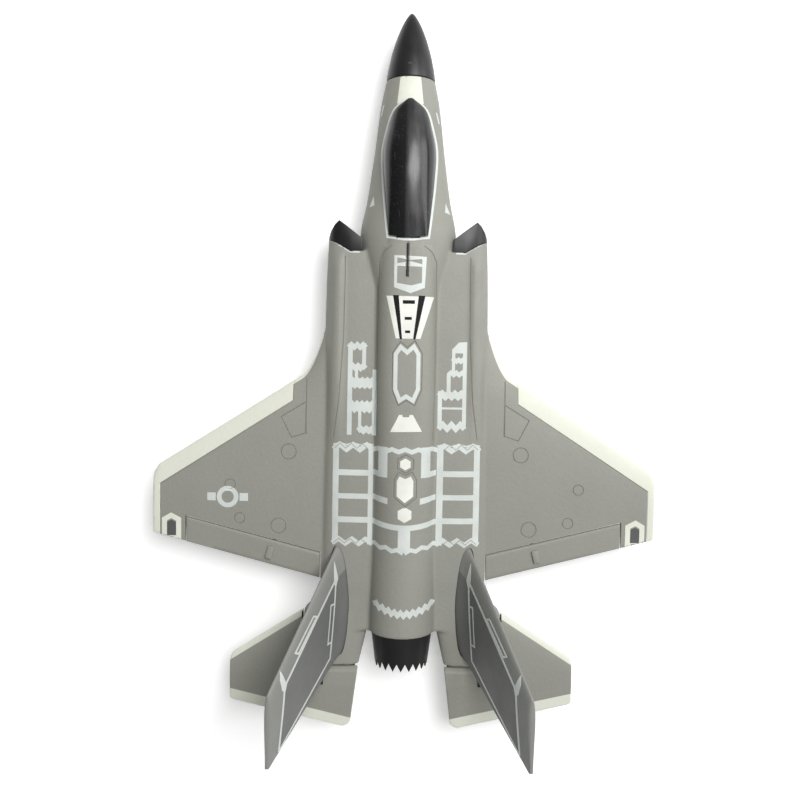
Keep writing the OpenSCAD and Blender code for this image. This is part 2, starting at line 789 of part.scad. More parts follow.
module fan_housing() {
    mount_y = motor_mount_y;
    color(black_plastic) difference() {
        union() {
            difference() {
                along_y(fan_front, fan_front + fan_len, housing_ro, housing_ro);
                along_y(fan_front - 1, fan_front + fan_len + 1, housing_ri, housing_ri);
            }
            along_y(mount_y, fan_front + fan_len, motor_r + 1.1, motor_r + 1.1);
            for (a = [45 : 90 : 315])
                rotate([0, a, 0]) translate([motor_r + 0.5, 34, -0.6])
                    cube([housing_ri - motor_r, 11, 1.2]);
        }
        along_y(mount_y + 1.4, 60, motor_r + 0.08, motor_r + 0.08);
        along_y(mount_y - 1, mount_y + 3, 2.2, 2.2);
        motor_screw_places() along_y(mount_y - 1, mount_y + 3, 0.95, 0.95);
    }
}

module fan_motor() {
    color(steel) difference() {
        union() {
            along_y(motor_y[0], motor_y[1], motor_r, motor_r);
            along_y(motor_mount_y + 0.2, motor_y[0] + 0.5, 2.1, 2.1);
        }
        along_y(30, 40, shaft_r + 0.05, shaft_r + 0.05);
        motor_screw_places() along_y(31, 34.5, 0.8, 0.8);
    }
}

module motor_screws() {
    color(carbon) motor_screw_places() {
        along_y(28.7, 29.9, 1.5, 1.5);
        along_y(29.8, 34, 0.75, 0.75);
    }
}

module motor_shaft() {
    color(steel) along_y(19, 39, shaft_r, shaft_r);
}

module fan_rotor() {
    color(black_plastic) difference() {
        union() {
            along_y(18.5, 28, hub_r, hub_r);
            intersection() {
                along_y(17, 28.4, rotor_d / 2, rotor_d / 2);
                for (k = [0 : blade_count - 1])
                    rotate([0, 360 * k / blade_count, 0]) translate([0, 23, 0])
                        rotate([-blade_pitch, 0, 0])
                            translate([hub_r - 1.5, -blade_chord / 2, -blade_t / 2])
                                cube([rotor_d / 2, blade_chord, blade_t]);
            }
        }
        along_y(18.9, 30, shaft_r + 0.02, shaft_r + 0.02);
    }
}

module fan_spinner() {
    color("silver") translate([0, 18.4, 0]) rotate([90, 0, 0]) rotate_extrude()
        polygon(concat([[0, 0]],
            [for (i = [0 : 10]) let (u = i / 10) [hub_r * (1 - u ^ 2) ^ 0.6, 11 * u]]));
}

module thrust_tube() {
    color(carbon) difference() {
        along_y(fan_front + fan_len + 0.2, tube_end - 0.2, housing_ro, housing_ro);
        along_y(fan_front, tube_end + 1, housing_ro - 0.7, housing_ro - 0.7);
    }
}

module exhaust_nozzle() {
    cone_y = barrel_end + 0.2;
    pitch = 360 / nozzle_teeth;
    half = nozzle_r[1] * tan(pitch / 2);
    color(black_plastic) difference() {
        union() {
            along_y(tube_end + 0.2, cone_y, nozzle_r[0], nozzle_r[0]);
            along_y(cone_y, nozzle_tip, nozzle_r[0], nozzle_r[1]);
        }
        along_y(tube_end - 1, cone_y, nozzle_r[0] - nozzle_wall, nozzle_r[0] - nozzle_wall);
        along_y(cone_y - 0.01, nozzle_tip + 0.01, nozzle_r[0] - nozzle_wall, nozzle_r[1] - nozzle_wall);
        for (k = [0 : nozzle_teeth - 1])
            rotate([0, pitch * k, 0]) translate([0, nozzle_tip, nozzle_r[1] - 5])
                linear_extrude(12) polygon([[-half, 0.5], [0, -tooth_l], [half, 0.5]]);
    }
}

// ---- Electronics ----

battery_y = -204;
battery_z = -13.2;
battery_h = 12;

module battery() {
    color("royalblue") translate([-battery_w / 2, battery_y, battery_z])
        cube([battery_w, battery_l, battery_h]);
}

module battery_strap() {
    color("black") translate([0, battery_y + 18, 0]) difference() {
        translate([-battery_w / 2 - 0.7, 0, battery_z - 0.7])
            cube([battery_w + 1.4, 13, battery_h + 1.4]);
        translate([-battery_w / 2 - 0.1, -1, battery_z - 0.1])
            cube([battery_w + 0.2, 15, battery_h + 0.2]);
    }
}

module battery_lead() {
    y0 = battery_y + battery_l + 0.1;
    color("firebrick") {
        for (x = [-1.6, 1.6])
            along_y(y0, -134.2, 0.9, 0.9, x, -10.6);
        translate([-3.4, -149, -12.6]) cube([6.8, 9, 4]);
    }
}

module speed_controller() {
    color("darkgreen") translate([-9, -134, -13.8]) cube([18, 32, 6.2]);
}

module receiver_board() {
    color("purple") translate([-10, -94, -13.8]) cube([20, 26, 7]);
}

placed() upper_foam();
placed() lower_foam();
placed() nose_cone();
placed() canopy_shell();
placed() canopy_base();
placed() canopy_magnets();
placed() body_magnets();
placed() antenna_wire();
placed() fan_housing();
placed() fan_motor();
placed() motor_screws();
placed() motor_shaft();
placed() fan_rotor();
placed() fan_spinner();
placed() thrust_tube();
placed() exhaust_nozzle();
placed() battery();
placed() battery_strap();
placed() battery_lead();
placed() speed_controller();
placed() receiver_board();
placed() intake_lip(1);  // intake_lip_left
placed() intake_lip(-1);  // intake_lip_right
placed() aileron(1);  // aileron_left
placed() aileron(-1);  // aileron_right
placed() stabilizer(1);  // stabilizer_left
placed() stabilizer(-1);  // stabilizer_right
placed() fin(1);  // fin_left
placed() fin(-1);  // fin_right
placed() wing_spar(1);  // wing_spar_left
placed() wing_spar(-1);  // wing_spar_right
placed() pivot_rod(1);  // pivot_rod_left
placed() pivot_rod(-1);  // pivot_rod_right
placed() pivot_bearing(1);  // pivot_bearing_left
placed() pivot_bearing(-1);  // pivot_bearing_right
placed() on_side(1) tail_frame() servo(tail_link);  // tail_servo_left
placed() on_side(-1) tail_frame() servo(tail_link);  // tail_servo_right
placed() on_side(1) tail_frame() servo_arm(tail_link);  // tail_servo_arm_left
placed() on_side(-1) tail_frame() servo_arm(tail_link);  // tail_servo_arm_right
placed() on_side(1) tail_frame() pushrod(tail_link);  // tail_pushrod_left
placed() on_side(-1) tail_frame() pushrod(tail_link);  // tail_pushrod_right
placed() on_side(1) tail_frame() horn(tail_link);  // tail_horn_left
placed() on_side(-1) tail_frame() horn(tail_link);  // tail_horn_right
placed() on_side(1) tail_frame() horn_plate(tail_link);  // tail_horn_plate_left
placed() on_side(-1) tail_frame() horn_plate(tail_link);  // tail_horn_plate_right
placed() on_side(1) wing_frame() servo(wing_link);  // wing_servo_left
placed() on_side(-1) wing_frame() servo(wing_link);  // wing_servo_right
placed() on_side(1) wing_frame() servo_arm(wing_link);  // wing_servo_arm_left
placed() on_side(-1) wing_frame() servo_arm(wing_link);  // wing_servo_arm_right
placed() on_side(1) wing_frame() pushrod(wing_link);  // wing_pushrod_left
placed() on_side(-1) wing_frame() pushrod(wing_link);  // wing_pushrod_right
placed() on_side(1) wing_frame() horn(wing_link);  // wing_horn_left
placed() on_side(-1) wing_frame() horn(wing_link);  // wing_horn_right
placed() on_side(1) wing_frame() horn_plate(wing_link);  // wing_horn_plate_left
placed() on_side(-1) wing_frame() horn_plate(wing_link);  // wing_horn_plate_right
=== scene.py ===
"""Small foam radio-controlled jet: finished skins, markings and materials round the CAD frame.
Shapes are drawn in millimetres about the fan axis, as the CAD draws them; place() then lifts each
piece onto the belly's resting face and scales it to metres."""
import json
import math
from contextlib import contextmanager
from functools import reduce

import bmesh
import bpy
import numpy as np
from mathutils import Matrix, Vector
from mathutils.bvhtree import BVHTree
from mathutils.geometry import delaunay_2d_cdt

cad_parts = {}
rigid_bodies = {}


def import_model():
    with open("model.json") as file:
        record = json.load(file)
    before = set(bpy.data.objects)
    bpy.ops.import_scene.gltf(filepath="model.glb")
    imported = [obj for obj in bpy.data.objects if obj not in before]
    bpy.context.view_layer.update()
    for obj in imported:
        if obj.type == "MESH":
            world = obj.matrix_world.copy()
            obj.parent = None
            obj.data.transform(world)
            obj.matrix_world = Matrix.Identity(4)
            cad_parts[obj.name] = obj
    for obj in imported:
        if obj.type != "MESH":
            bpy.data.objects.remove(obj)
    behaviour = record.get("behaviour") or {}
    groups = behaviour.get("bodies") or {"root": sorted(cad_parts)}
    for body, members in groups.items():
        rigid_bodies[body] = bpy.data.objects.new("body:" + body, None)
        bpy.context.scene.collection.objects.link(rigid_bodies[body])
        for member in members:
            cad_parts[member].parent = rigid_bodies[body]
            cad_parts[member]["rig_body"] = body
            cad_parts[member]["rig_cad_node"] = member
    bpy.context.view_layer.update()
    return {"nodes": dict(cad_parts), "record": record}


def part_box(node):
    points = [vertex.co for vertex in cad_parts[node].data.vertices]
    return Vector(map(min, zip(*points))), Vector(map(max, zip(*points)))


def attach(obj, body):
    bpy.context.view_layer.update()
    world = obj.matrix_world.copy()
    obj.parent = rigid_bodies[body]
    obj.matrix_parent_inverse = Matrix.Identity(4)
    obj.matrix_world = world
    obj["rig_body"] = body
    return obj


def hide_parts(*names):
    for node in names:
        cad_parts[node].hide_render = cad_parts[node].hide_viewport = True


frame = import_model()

MM = 0.001
SIDES = {"left": 1, "right": -1}

# ---------------------------------------------------------------- driving dimensions, as the CAD

BELLY_Z = -26.2
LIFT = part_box("lower_foam")[0][2] / MM - BELLY_Z


def cad_span(node, axis):
    """Lowest and highest place of a CAD node along an axis, in drawing coordinates."""
    lift = LIFT if axis == 2 else 0
    return tuple(corner[axis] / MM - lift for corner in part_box(node))


PARTING_Z = -2.0
PARTING_GAP = 0.1
HALF_SPAN = cad_span("upper_foam", 0)[1]
NOSE_Y = -236.4
NOSE_Z = -2.0
CONE_R = 15.7
BARREL_R = 21.4
BARREL_END = 115.0
BOOM_END = cad_span("upper_foam", 1)[1]
BOOM_X = 62.0
CANOPY_FRONT = -221.4
CANOPY_REAR = -133.2
HATCH_REAR = -141.0
CANOPY_WALL = 1.0

# y, half width, chine z, top z, belly z
FORE = [
    [NOSE_Y, 15.7, -2, 13.7, -17.7],
    [-220, 18.9, -1.5, 15.6, -19.8],
    [-190, 22.4, 0, 18, -22.4],
    [-160, 26.4, 1, 20.4, -24.6],
    [-134, 30.5, 2, 23, -26],
    [-100, 24, 3, 20, -26.8],
    [-60, 20, 3, 14, -24],
]
# y, half width, chine z, deck z, spine z, flank belly z, spine half width, deck edge exponent
TRUNK = [
    [-146, 50, 3, 12.4, 24.4, -25, 21.2, 7],
    [-110, 51.4, 3, 13.4, 24.2, -26.4, 21.4, 7],
    [-60, 52, 3, 13.4, 24, -27, 21.4, 7],
    [0, 52, 3, 12.6, 23.2, -27, 21.4, 7],
    [40, 52, 2.8, 11, 22.2, -25, BARREL_R, 7],
    [83, 52, 2, 8, BARREL_R, -16, BARREL_R, 6],
    [93, 53, 1.5, 7, BARREL_R, -13.5, BARREL_R, 5],
    [102, BOOM_X, 1, 6.4, BARREL_R, -11.4, BARREL_R, 4],
    [BARREL_END, BOOM_X, 1, 6, BARREL_R, -10, BARREL_R, 4],
]
# y, inner x, top z, bottom z
BOOM = [[104, 20.4, 6.3, -11.2], [BARREL_END, 22.2, 6, -10], [BOOM_END, 27.2, 5.4, -6.6]]
# y, half width, crown z
CANOPY = [
    [CANOPY_FRONT, 1.6, 16.6],
    [-214.6, 9.6, 20],
    [-203, 13.8, 25.4],
    [-189, 16.6, 29.6],
    [-170, 15.9, 31],
    [-150, 14, 28.4],
    [CANOPY_REAR, 12.1, 24.6],
]

# Wing: thickness at the body and at the tip, slope of the leading edge, curve of the strake inboard
# of STRAKE_X, span of the ailerons, radius of their noses at both ends
WING_Z = 3.0
WING_ROOT, WING_IN = 52.0, 40.0
WING_T = (9.4, 4.6)
LE_SLOPE = 0.642
STRAKE_X, STRAKE_CURVE = 66.0, 0.105
TIP_CORNER = 3.5
AIL_IN, AIL_OUT = 53.0, 138.4
HINGE_SLOPE = -0.256
HINGE_R = (1.75, 1.3)
HINGE_GAP = 0.6

# Tailplane: height of its rod, rod's station, where its inner and outer parts meet, slope of the
# trailing edge, then leading edge and thickness at both ends, inner edge front and rear
STAB_Z = 1.0
PIVOT_Y = 131.5
STAB_SPLIT, STAB_TIP = 62.8, 109.4
STAB_SWEEP = -0.229
STAB_LE = (102.4, 132.0)
STAB_T = (6.0, 3.6)
STAB_IN = (27.6, 32.2)

# Fins: lean outwards, then leading edge, trailing edge and thickness at the root and at the top
FIN_CANT = math.radians(24.2)
FIN_BASE_Z, FIN_ROOT_Z, FIN_ROOT_X = 3.6, 8.0, 41.6
FIN_TOP_Z = cad_span("fin_left", 2)[1]
FIN_LE = (60.5, 126.2)
FIN_TE = (131.4, 167.6)
FIN_T = (5.6, 4.0)


def track(rows, y, c):
    """Smooth value of column c of rows at station y."""
    i = max([0] + [k for k in range(len(rows) - 1) if rows[k][0] <= y])
    a, b = rows[i], rows[i + 1]
    span = b[0] - a[0]

    def slope(k):
        lo, hi = rows[max(0, k - 1)], rows[min(len(rows) - 1, k + 1)]
        return (hi[c] - lo[c]) / (hi[0] - lo[0])

    u = (y - a[0]) / span
    return (
        a[c] * (2 * u**3 - 3 * u**2 + 1)
        + span * slope(i) * (u**3 - 2 * u**2 + u)
        + b[c] * (3 * u**2 - 2 * u**3)
        + span * slope(i + 1) * (u**3 - u**2)
    )


def fore_z(x, y, upper):
    """Surface of the fuselage ahead of the intakes."""
    w, c = track(FORE, y, 1), track(FORE, y, 2)
    t = np.minimum(1, np.abs(x) / w)
    end, power = (track(FORE, y, 3), 2.1) if upper else (track(FORE, y, 4), 2.3)
    return c + (end - c) * (1 - t**power) ** 0.5


def trunk_z(x, y, upper):
    """Surface of the trunk: deck and spine above, flanks and barrel below."""
    x = np.abs(x)
    w, c = track(TRUNK, y, 1), track(TRUNK, y, 2)
    t = np.minimum(1, x / w)
    if not upper:
        flank = c + (track(TRUNK, y, 5) - c) * (1 - t**3.2) ** 0.6
        barrel = -np.maximum(0, BARREL_R**2 - x**2) ** 0.5
        return np.where(x < BARREL_R, np.minimum(flank, barrel), flank)
    square = 2 + 1.4 * min(1, max(0, (50 - y) / 80))
    h = track(TRUNK, y, 6)
    spine = track(TRUNK, y, 4) * (1 - np.minimum(1, x / h) ** square) ** 0.5
    fade = min(1, max(0, -y / 50)) * min(1, max(0, (y + 128) / 12))
    ridge = 2.3 * np.exp(-(np.abs((x - 44.2) / 4.2) ** 3)) * fade
    deck = c + (track(TRUNK, y, 3) - c) * (1 - t ** track(TRUNK, y, 7)) ** 0.5 + ridge
    return np.maximum(spine, deck)


def turns(n):
    """Angles of n even steps round a circle."""
    return np.arange(n) * 2 * math.pi / n


def at_station(y, x, z):
    """Ring of points standing across the fuselage."""
    return np.column_stack([x, np.full(len(x), y), z])


def section(rows, y, surface, n):
    """Closed ring of n points, from an upper and a lower surface over the rows' half width."""
    a = turns(n)
    x = track(rows, y, 1) * np.cos(a)
    return at_station(y, x, np.where(a <= math.pi, surface(x, y, True), surface(x, y, False)))


def boom_ring(y, n):
    inner = track(BOOM, y, 1)
    a = turns(n)
    x = (BOOM_X + inner) / 2 + (BOOM_X - inner) / 2 * np.cos(a)
    end = np.where(a <= math.pi, track(BOOM, y, 2), track(BOOM, y, 3))
    return at_station(y, x, STAB_Z + (end - STAB_Z) * (1 - np.abs(np.cos(a)) ** 4) ** 0.5)


def foil(u):
    return 5 * (0.2969 * u**0.5 - 0.126 * u - 0.3516 * u**2 + 0.2843 * u**3 - 0.1015 * u**4)


def foil_ring(x, y0, y1, t, z, n=40):
    """Ring of an aerofoil section at span place x, blunt at the trailing edge."""
    u = (1 - np.cos(np.pi * np.arange(n + 1) / n)) / 2
    half = foil(u) * t + 0.75 * u**3
    y = y0 + (y1 - y0) * u
    top = np.column_stack([np.full(n + 1, x), y, z + half])
    low = np.column_stack([np.full(n, x), y[1:], z - half[1:]])[::-1]
    return np.vstack([top, low])


def wing_le(x):
    corner = max(0, x - (HALF_SPAN - TIP_CORNER)) * 1.1
    return -32 + LE_SLOPE * (x - 89.6) - STRAKE_CURVE * max(0, STRAKE_X - x) ** 2 + corner


def wing_te(x):
    return 82.6 - 0.255 * (x - WING_ROOT)


def wing_t(x):
    return np.interp(x, (WING_ROOT, HALF_SPAN), WING_T)


def hinge_y(x):
    return 65.9 + HINGE_SLOPE * (x - 60.4)


def stab_te(x):
    return 179 + STAB_SWEEP * (x - STAB_IN[1])


def canopy_w(y):
    return track(CANOPY, y, 1)


def canopy_edge(y):
    return fore_z(canopy_w(y), y, True)


def fin_x(z):
    return FIN_ROOT_X + (z - FIN_ROOT_Z) * math.tan(FIN_CANT)


def fin_mix(pair, z):
    return pair[0] + (pair[1] - pair[0]) * (z - FIN_ROOT_Z) / (FIN_TOP_Z - FIN_ROOT_Z)


# ---------------------------------------------------------------- mesh tools


@contextmanager
def edited(mesh):
    """The mesh opened for bmesh operators, and written back afterwards."""
    bm = bmesh.new()
    bm.from_mesh(mesh)
    yield bm
    bm.to_mesh(mesh)
    bm.free()


def linked(name, data):
    obj = bpy.data.objects.new(name, data)
    bpy.context.scene.collection.objects.link(obj)
    return obj


def make(name, verts, faces):
    """Object in millimetres, not yet placed on a body."""
    mesh = bpy.data.meshes.new(name)
    mesh.from_pydata([tuple(map(float, v)) for v in verts], [], [tuple(map(int, f)) for f in faces])
    with edited(mesh) as bm:
        bmesh.ops.recalc_face_normals(bm, faces=bm.faces)
    return linked(name, mesh)


def loft(name, rings, joined=False):
    """Skin over rings of equal length, either capped or joined into an endless loop."""
    n, m = len(rings[0]), len(rings)
    faces = []
    for i in range(m if joined else m - 1):
        a, b = i * n, (i + 1) % m * n
        faces += [(a + j, a + (j + 1) % n, b + (j + 1) % n, b + j) for j in range(n)]
    if not joined:
        faces += [tuple(range(n)), tuple(range((m - 1) * n, m * n))]
    return make(name, np.vstack(rings), faces)


def prism(name, outline, z0, z1):
    """Upright prism over a plan outline."""
    n = len(outline)
    verts = [(x, y, z) for z in (z0, z1) for x, y in outline]
    faces = [tuple(range(n)), tuple(range(n, 2 * n))]
    faces += [(j, (j + 1) % n, n + (j + 1) % n, n + j) for j in range(n)]
    return make(name, verts, faces)


def box(name, low, high):
    (x0, y0, z0), (x1, y1, z1) = low, high
    return prism(name, [(x0, y0), (x1, y0), (x1, y1), (x0, y1)], z0, z1)


def turned(name, a, b, r, n=96):
    """Cylinder between two points."""
    a, b = Vector(a), Vector(b)
    axis = (b - a).normalized()
    side = axis.orthogonal().normalized()
    other = axis.cross(side)
    reach = [r * (math.cos(t) * side + math.sin(t) * other) for t in turns(n)]
    return loft(name, [[end + out for out in reach] for end in (a, b)])


def apply_modifiers(obj):
    depsgraph = bpy.context.evaluated_depsgraph_get()
    mesh = bpy.data.meshes.new_from_object(obj.evaluated_get(depsgraph))
    old = obj.data
    obj.modifiers.clear()
    obj.data = mesh
    bpy.data.meshes.remove(old)
    return obj


def modified(obj, kind, **settings):
    mod = obj.modifiers.new(kind, kind)
    for key, value in settings.items():
        setattr(mod, key, value)
    return apply_modifiers(obj)


def combine(obj, others, operation):
    """Boolean with each of the others in turn; they are used up."""
    for other in others:
        mod = obj.modifiers.new("cut", "BOOLEAN")
        mod.operation = operation
        mod.solver = "MANIFOLD"
        mod.object = other
    apply_modifiers(obj)
    for other in others:
        mesh = other.data
        bpy.data.objects.remove(other)
        bpy.data.meshes.remove(mesh)
    return obj


def union(obj, others):
    return combine(obj, others, "UNION")


def cut(obj, others):
    return combine(obj, others, "DIFFERENCE")


def copy_of(obj, name, mirrored=False):
    twin = obj.copy()
    twin.data = obj.data.copy()
    twin.name = name
    bpy.context.scene.collection.objects.link(twin)
    if mirrored:
        twin.data.transform(Matrix.Diagonal((-1, 1, 1, 1)))
        twin.data.flip_normals()
    return twin


def both(maker):
    """The same cutter or blank on the left and mirrored on the right."""
    left = maker()
    return [left, copy_of(left, left.name + "_m", mirrored=True)]


def surface_of(obj):
    """Ray-cast tree over an object's faces, in millimetres."""
    verts = [v.co.copy() for v in obj.data.vertices]
    return BVHTree.FromPolygons(verts, [list(p.vertices) for p in obj.data.polygons])


class Plane:
    """Flat drawing plane: origin, two drawing axes, and the ray that drops a drawing on a surface."""

    def __init__(self, surface, origin=(0, 0, 200), u=(1, 0, 0), v=(0, 1, 0), ray=(0, 0, -1)):
        self.surface = surface
        self.origin, self.u, self.v, self.ray = map(Vector, (origin, u, v, ray))

    def hit(self, point):
        start = self.origin + point[0] * self.u + point[1] * self.v
        return self.surface.ray_cast(start, self.ray)[0]


def resampled(points, spacing, closed):
    """Points with the long segments divided."""
    points = [Vector(p) for p in points]
    ends = points[1:] + (points[:1] if closed else [])
    out = []
    for a, b in zip(points, ends):
        steps = max(1, math.ceil((b - a).length / spacing))
        out += [a.lerp(b, k / steps) for k in range(steps)]
    return out if closed else out + [points[-1]]


def mitres(points, closed):
    """Sideways offset direction at each point, long enough to keep a stroke's width."""
    n = len(points)
    out = []
    for i in range(n):
        before = points[i] - points[i - 1] if closed or i > 0 else None
        after = points[(i + 1) % n] - points[i] if closed or i < n - 1 else None
        before = before or after
        after = after or before
        a = Vector((-before.y, before.x)).normalized()
        b = Vector((-after.y, after.x)).normalized()
        mid = (a + b).normalized() if (a + b).length > 0.2 else a
        out.append(mid / max(0.5, mid.dot(a)))
    return out


def stroke(points, width, closed=False):
    """Quads of a line drawn with a flat pen."""
    points = [Vector(p) for p in points]
    sides = mitres(points, closed)
    left = [p + s * width / 2 for p, s in zip(points, sides)]
    right = [p - s * width / 2 for p, s in zip(points, sides)]
    pairs = list(zip(left, right))
    ahead = pairs[1:] + (pairs[:1] if closed else [])
    return [[a, b, d, c] for (a, b), (c, d) in zip(pairs, ahead)]


def zigzag(x0, x1, y, teeth, height, y1=None):
    """Points of a toothed line between two ends."""
    y1 = y if y1 is None else y1
    return [
        (x0 + (x1 - x0) * k / (2 * teeth), y + (y1 - y) * k / (2 * teeth) + height * (0.5 - k % 2))
        for k in range(2 * teeth + 1)
    ]


def polygon(n, r, x=0.0, y=0.0, phase=0.0):
    return [(x + r * math.cos(phase + t), y + r * math.sin(phase + t)) for t in turns(n)]


def sided(side, points):
    """Points of the left half, mirrored where side is -1."""
    return [(side * x, y) for x, y in points]


def grown(outline, distance):
    """Closed outline moved outwards."""
    points = [Vector(p) for p in outline]
    turn = sum(a.x * b.y - b.x * a.y for a, b in zip(points, points[1:] + points[:1]))
    out = -distance if turn > 0 else distance
    return [tuple(p + out * m) for p, m in zip(points, mitres(points, True))]


def laid_sheet(name, shapes, plane, lift=0.12, spacing=1.4, sunk=0.15):
    """Thin closed sheet over the union of flat shapes, laid on a surface."""
    verts, faces = [], []
    for shape in shapes:
        ring = resampled([(p[0], p[1]) for p in shape], spacing, True)
        area = sum(a.x * b.y - b.x * a.y for a, b in zip(ring, ring[1:] + ring[:1]))
        ring = ring if area > 0 else ring[::-1]
        faces.append(list(range(len(verts), len(verts) + len(ring))))
        verts += ring
    low = [min(v[k] for v in verts) for k in (0, 1)]
    high = [max(v[k] for v in verts) for k in (0, 1)]
    for x in np.arange(low[0] + 0.37, high[0], spacing):
        verts += [Vector((x, y)) for y in np.arange(low[1] + 0.41, high[1], spacing)]
    out = delaunay_2d_cdt(verts, [], faces, 0, 1e-4)
    flat, kept = out[0], [f for f, source in zip(out[2], out[5]) if source]
    used = sorted({k for f in kept for k in f})
    spots = {k: plane.hit(flat[k]) for k in used}
    kept = [f for f in kept if all(spots[k] is not None for k in f)]
    used = sorted({k for f in kept for k in f})
    index = {k: i for i, k in enumerate(used)}
    up = -plane.ray
    top = [spots[k] + up * lift for k in used]
    bottom = [spots[k] - up * sunk for k in used]
    n = len(used)
    tops = [[index[k] for k in f] for f in kept]
    edges = {(f[i], f[(i + 1) % 3]) for f in tops for i in range(3)}
    rim = [(a, b) for a, b in edges if (b, a) not in edges]
    polys = tops + [[n + k for k in f[::-1]] for f in tops] + [[b, a, n + a, n + b] for a, b in rim]
    return make(name, top + bottom, polys)


def groove_cutter(name, points, plane, closed=False, width=1.0, depth=0.5, spacing=1.5, over=0.5):
    """V-shaped cutter that follows a line along a surface."""
    path = resampled(points, spacing, closed)
    sides = mitres(path, closed)
    up = -plane.ray
    wide = width / 2 * (1 + over / depth)
    rings = []
    for p, s in zip(path, sides):
        spot = plane.hit(p)
        if spot is None:
            continue
        across = (plane.u * s.x + plane.v * s.y) * wide
        rings.append([spot + up * over + across, spot + up * over - across, spot - up * depth])
    return loft(name, rings, closed)


def place(obj, name, body, material, replaces=(), sharp=35):
    """Turns a finished mesh in millimetres into a piece of the model."""
    obj.name = name
    obj.data.transform(Matrix.Scale(MM, 4) @ Matrix.Translation((0, 0, LIFT)))
    obj.data.materials.clear()
    obj.data.materials.append(material)
    obj.data.shade_smooth()
    obj.data.set_sharp_from_angle(angle=math.radians(sharp))
    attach(obj, body)
    if replaces:
        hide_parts(*replaces)
    return obj


# ---------------------------------------------------------------- materials


class Graph:
    """A procedural material, or the world's light, under construction."""

    def __init__(self, name, library=bpy.data.materials, coords="Object"):
        self.material = library.new(name)
        self.material.use_nodes = True
        self.tree = self.material.node_tree
        self.coords = self.node("ShaderNodeTexCoord").outputs[coords]

    def put(self, socket, value):
        if isinstance(value, bpy.types.NodeSocket):
            self.tree.links.new(value, socket)
        else:
            socket.default_value = value

    def node(self, kind, inputs=None, **settings):
        made = self.tree.nodes.new(kind)
        for key, value in settings.items():
            setattr(made, key, value)
        for key, value in (inputs or {}).items():
            self.put(made.inputs[key], value)
        return made

    def math(self, operation, *values):
        return self.node("ShaderNodeMath", dict(enumerate(values)), operation=operation).outputs[0]

    def most(self, *values):
        """Greatest of the values."""
        return reduce(lambda a, b: self.math("MAXIMUM", a, b), values)

    def remap(self, value, low, high, a, b):
        span = {"From Min": low, "From Max": high, "To Min": a, "To Max": b}
        return self.node("ShaderNodeMapRange", {"Value": value, **span}).outputs["Result"]

    def step(self, value, edge, soft=0.15):
        """0 below the edge, 1 above it."""
        return self.remap(value, edge - soft, edge + soft, 0, 1)

    def noise(self, scale, detail=4, rough=0.6, vector=None, distortion=0.0):
        inputs = {"Scale": scale, "Detail": detail, "Roughness": rough, "Distortion": distortion}
        inputs["Vector"] = vector or self.coords
        return self.node("ShaderNodeTexNoise", inputs).outputs["Fac"]

    def cells(self, scale, feature="F1", vector=None):
        inputs = {"Scale": scale, "Vector": vector or self.coords}
        return self.node("ShaderNodeTexVoronoi", inputs, feature=feature).outputs["Distance"]

    def stretched(self, scale):
        """Coordinates scaled per axis, for drawn and scratched looks."""
        return self.node("ShaderNodeMapping", {"Vector": self.coords, "Scale": scale}).outputs[0]

    def mix(self, factor, a, b):
        return self.node("ShaderNodeMix", {0: factor, 6: a, 7: b}, data_type="RGBA").outputs[2]

    def bump(self, height, distance, strength=1.0, normal=None):
        inputs = {"Height": height, "Distance": distance, "Strength": strength}
        if normal:
            inputs["Normal"] = normal
        return self.node("ShaderNodeBump", inputs).outputs[0]

    def finish(self, **inputs):
        names = {"color": "Base Color", "rough": "Roughness", "metal": "Metallic", "normal": "Normal"}
        names.update(coat="Coat Weight", coat_rough="Coat Roughness", spec="Specular IOR Level")
        names.update(through="Transmission Weight", sheen="Sheen Weight")
        names.update(glow="Emission Strength", glow_color="Emission Color")
        bsdf = self.tree.nodes["Principled BSDF"]
        for key, value in inputs.items():
            self.put(bsdf.inputs[names[key]], value)
        return self.material

    def place_mm(self):
        """|x|, y and z of the surface point in millimetres."""
        split = self.node("ShaderNodeSeparateXYZ", {"Vector": self.coords}).outputs
        x, y, z = (self.math("DIVIDE", split[k], MM) for k in range(3))
        return self.most(x, self.math("MULTIPLY", x, -1)), y, self.math("SUBTRACT", z, LIFT)

    def beyond(self, line, u, v, soft=0.15):
        """1 where v lies above the line v = a + b u."""
        a, b = line
        edge = self.math("MULTIPLY_ADD", u, b, a)
        return self.step(self.math("SUBTRACT", v, edge), 0, soft)


FOAM_GREY = (0.270, 0.271, 0.237, 1)
FIN_GREY = (0.146, 0.150, 0.142, 1)
FIN_EDGE = (0.235, 0.237, 0.223, 1)
CREAM = (0.70, 0.72, 0.62, 1)
TAPE_WHITE = (0.60, 0.635, 0.605, 1)
PAINT_WHITE = (0.76, 0.77, 0.71, 1)


def shade(colour, k):
    return tuple(c * k for c in colour[:3]) + (1,)


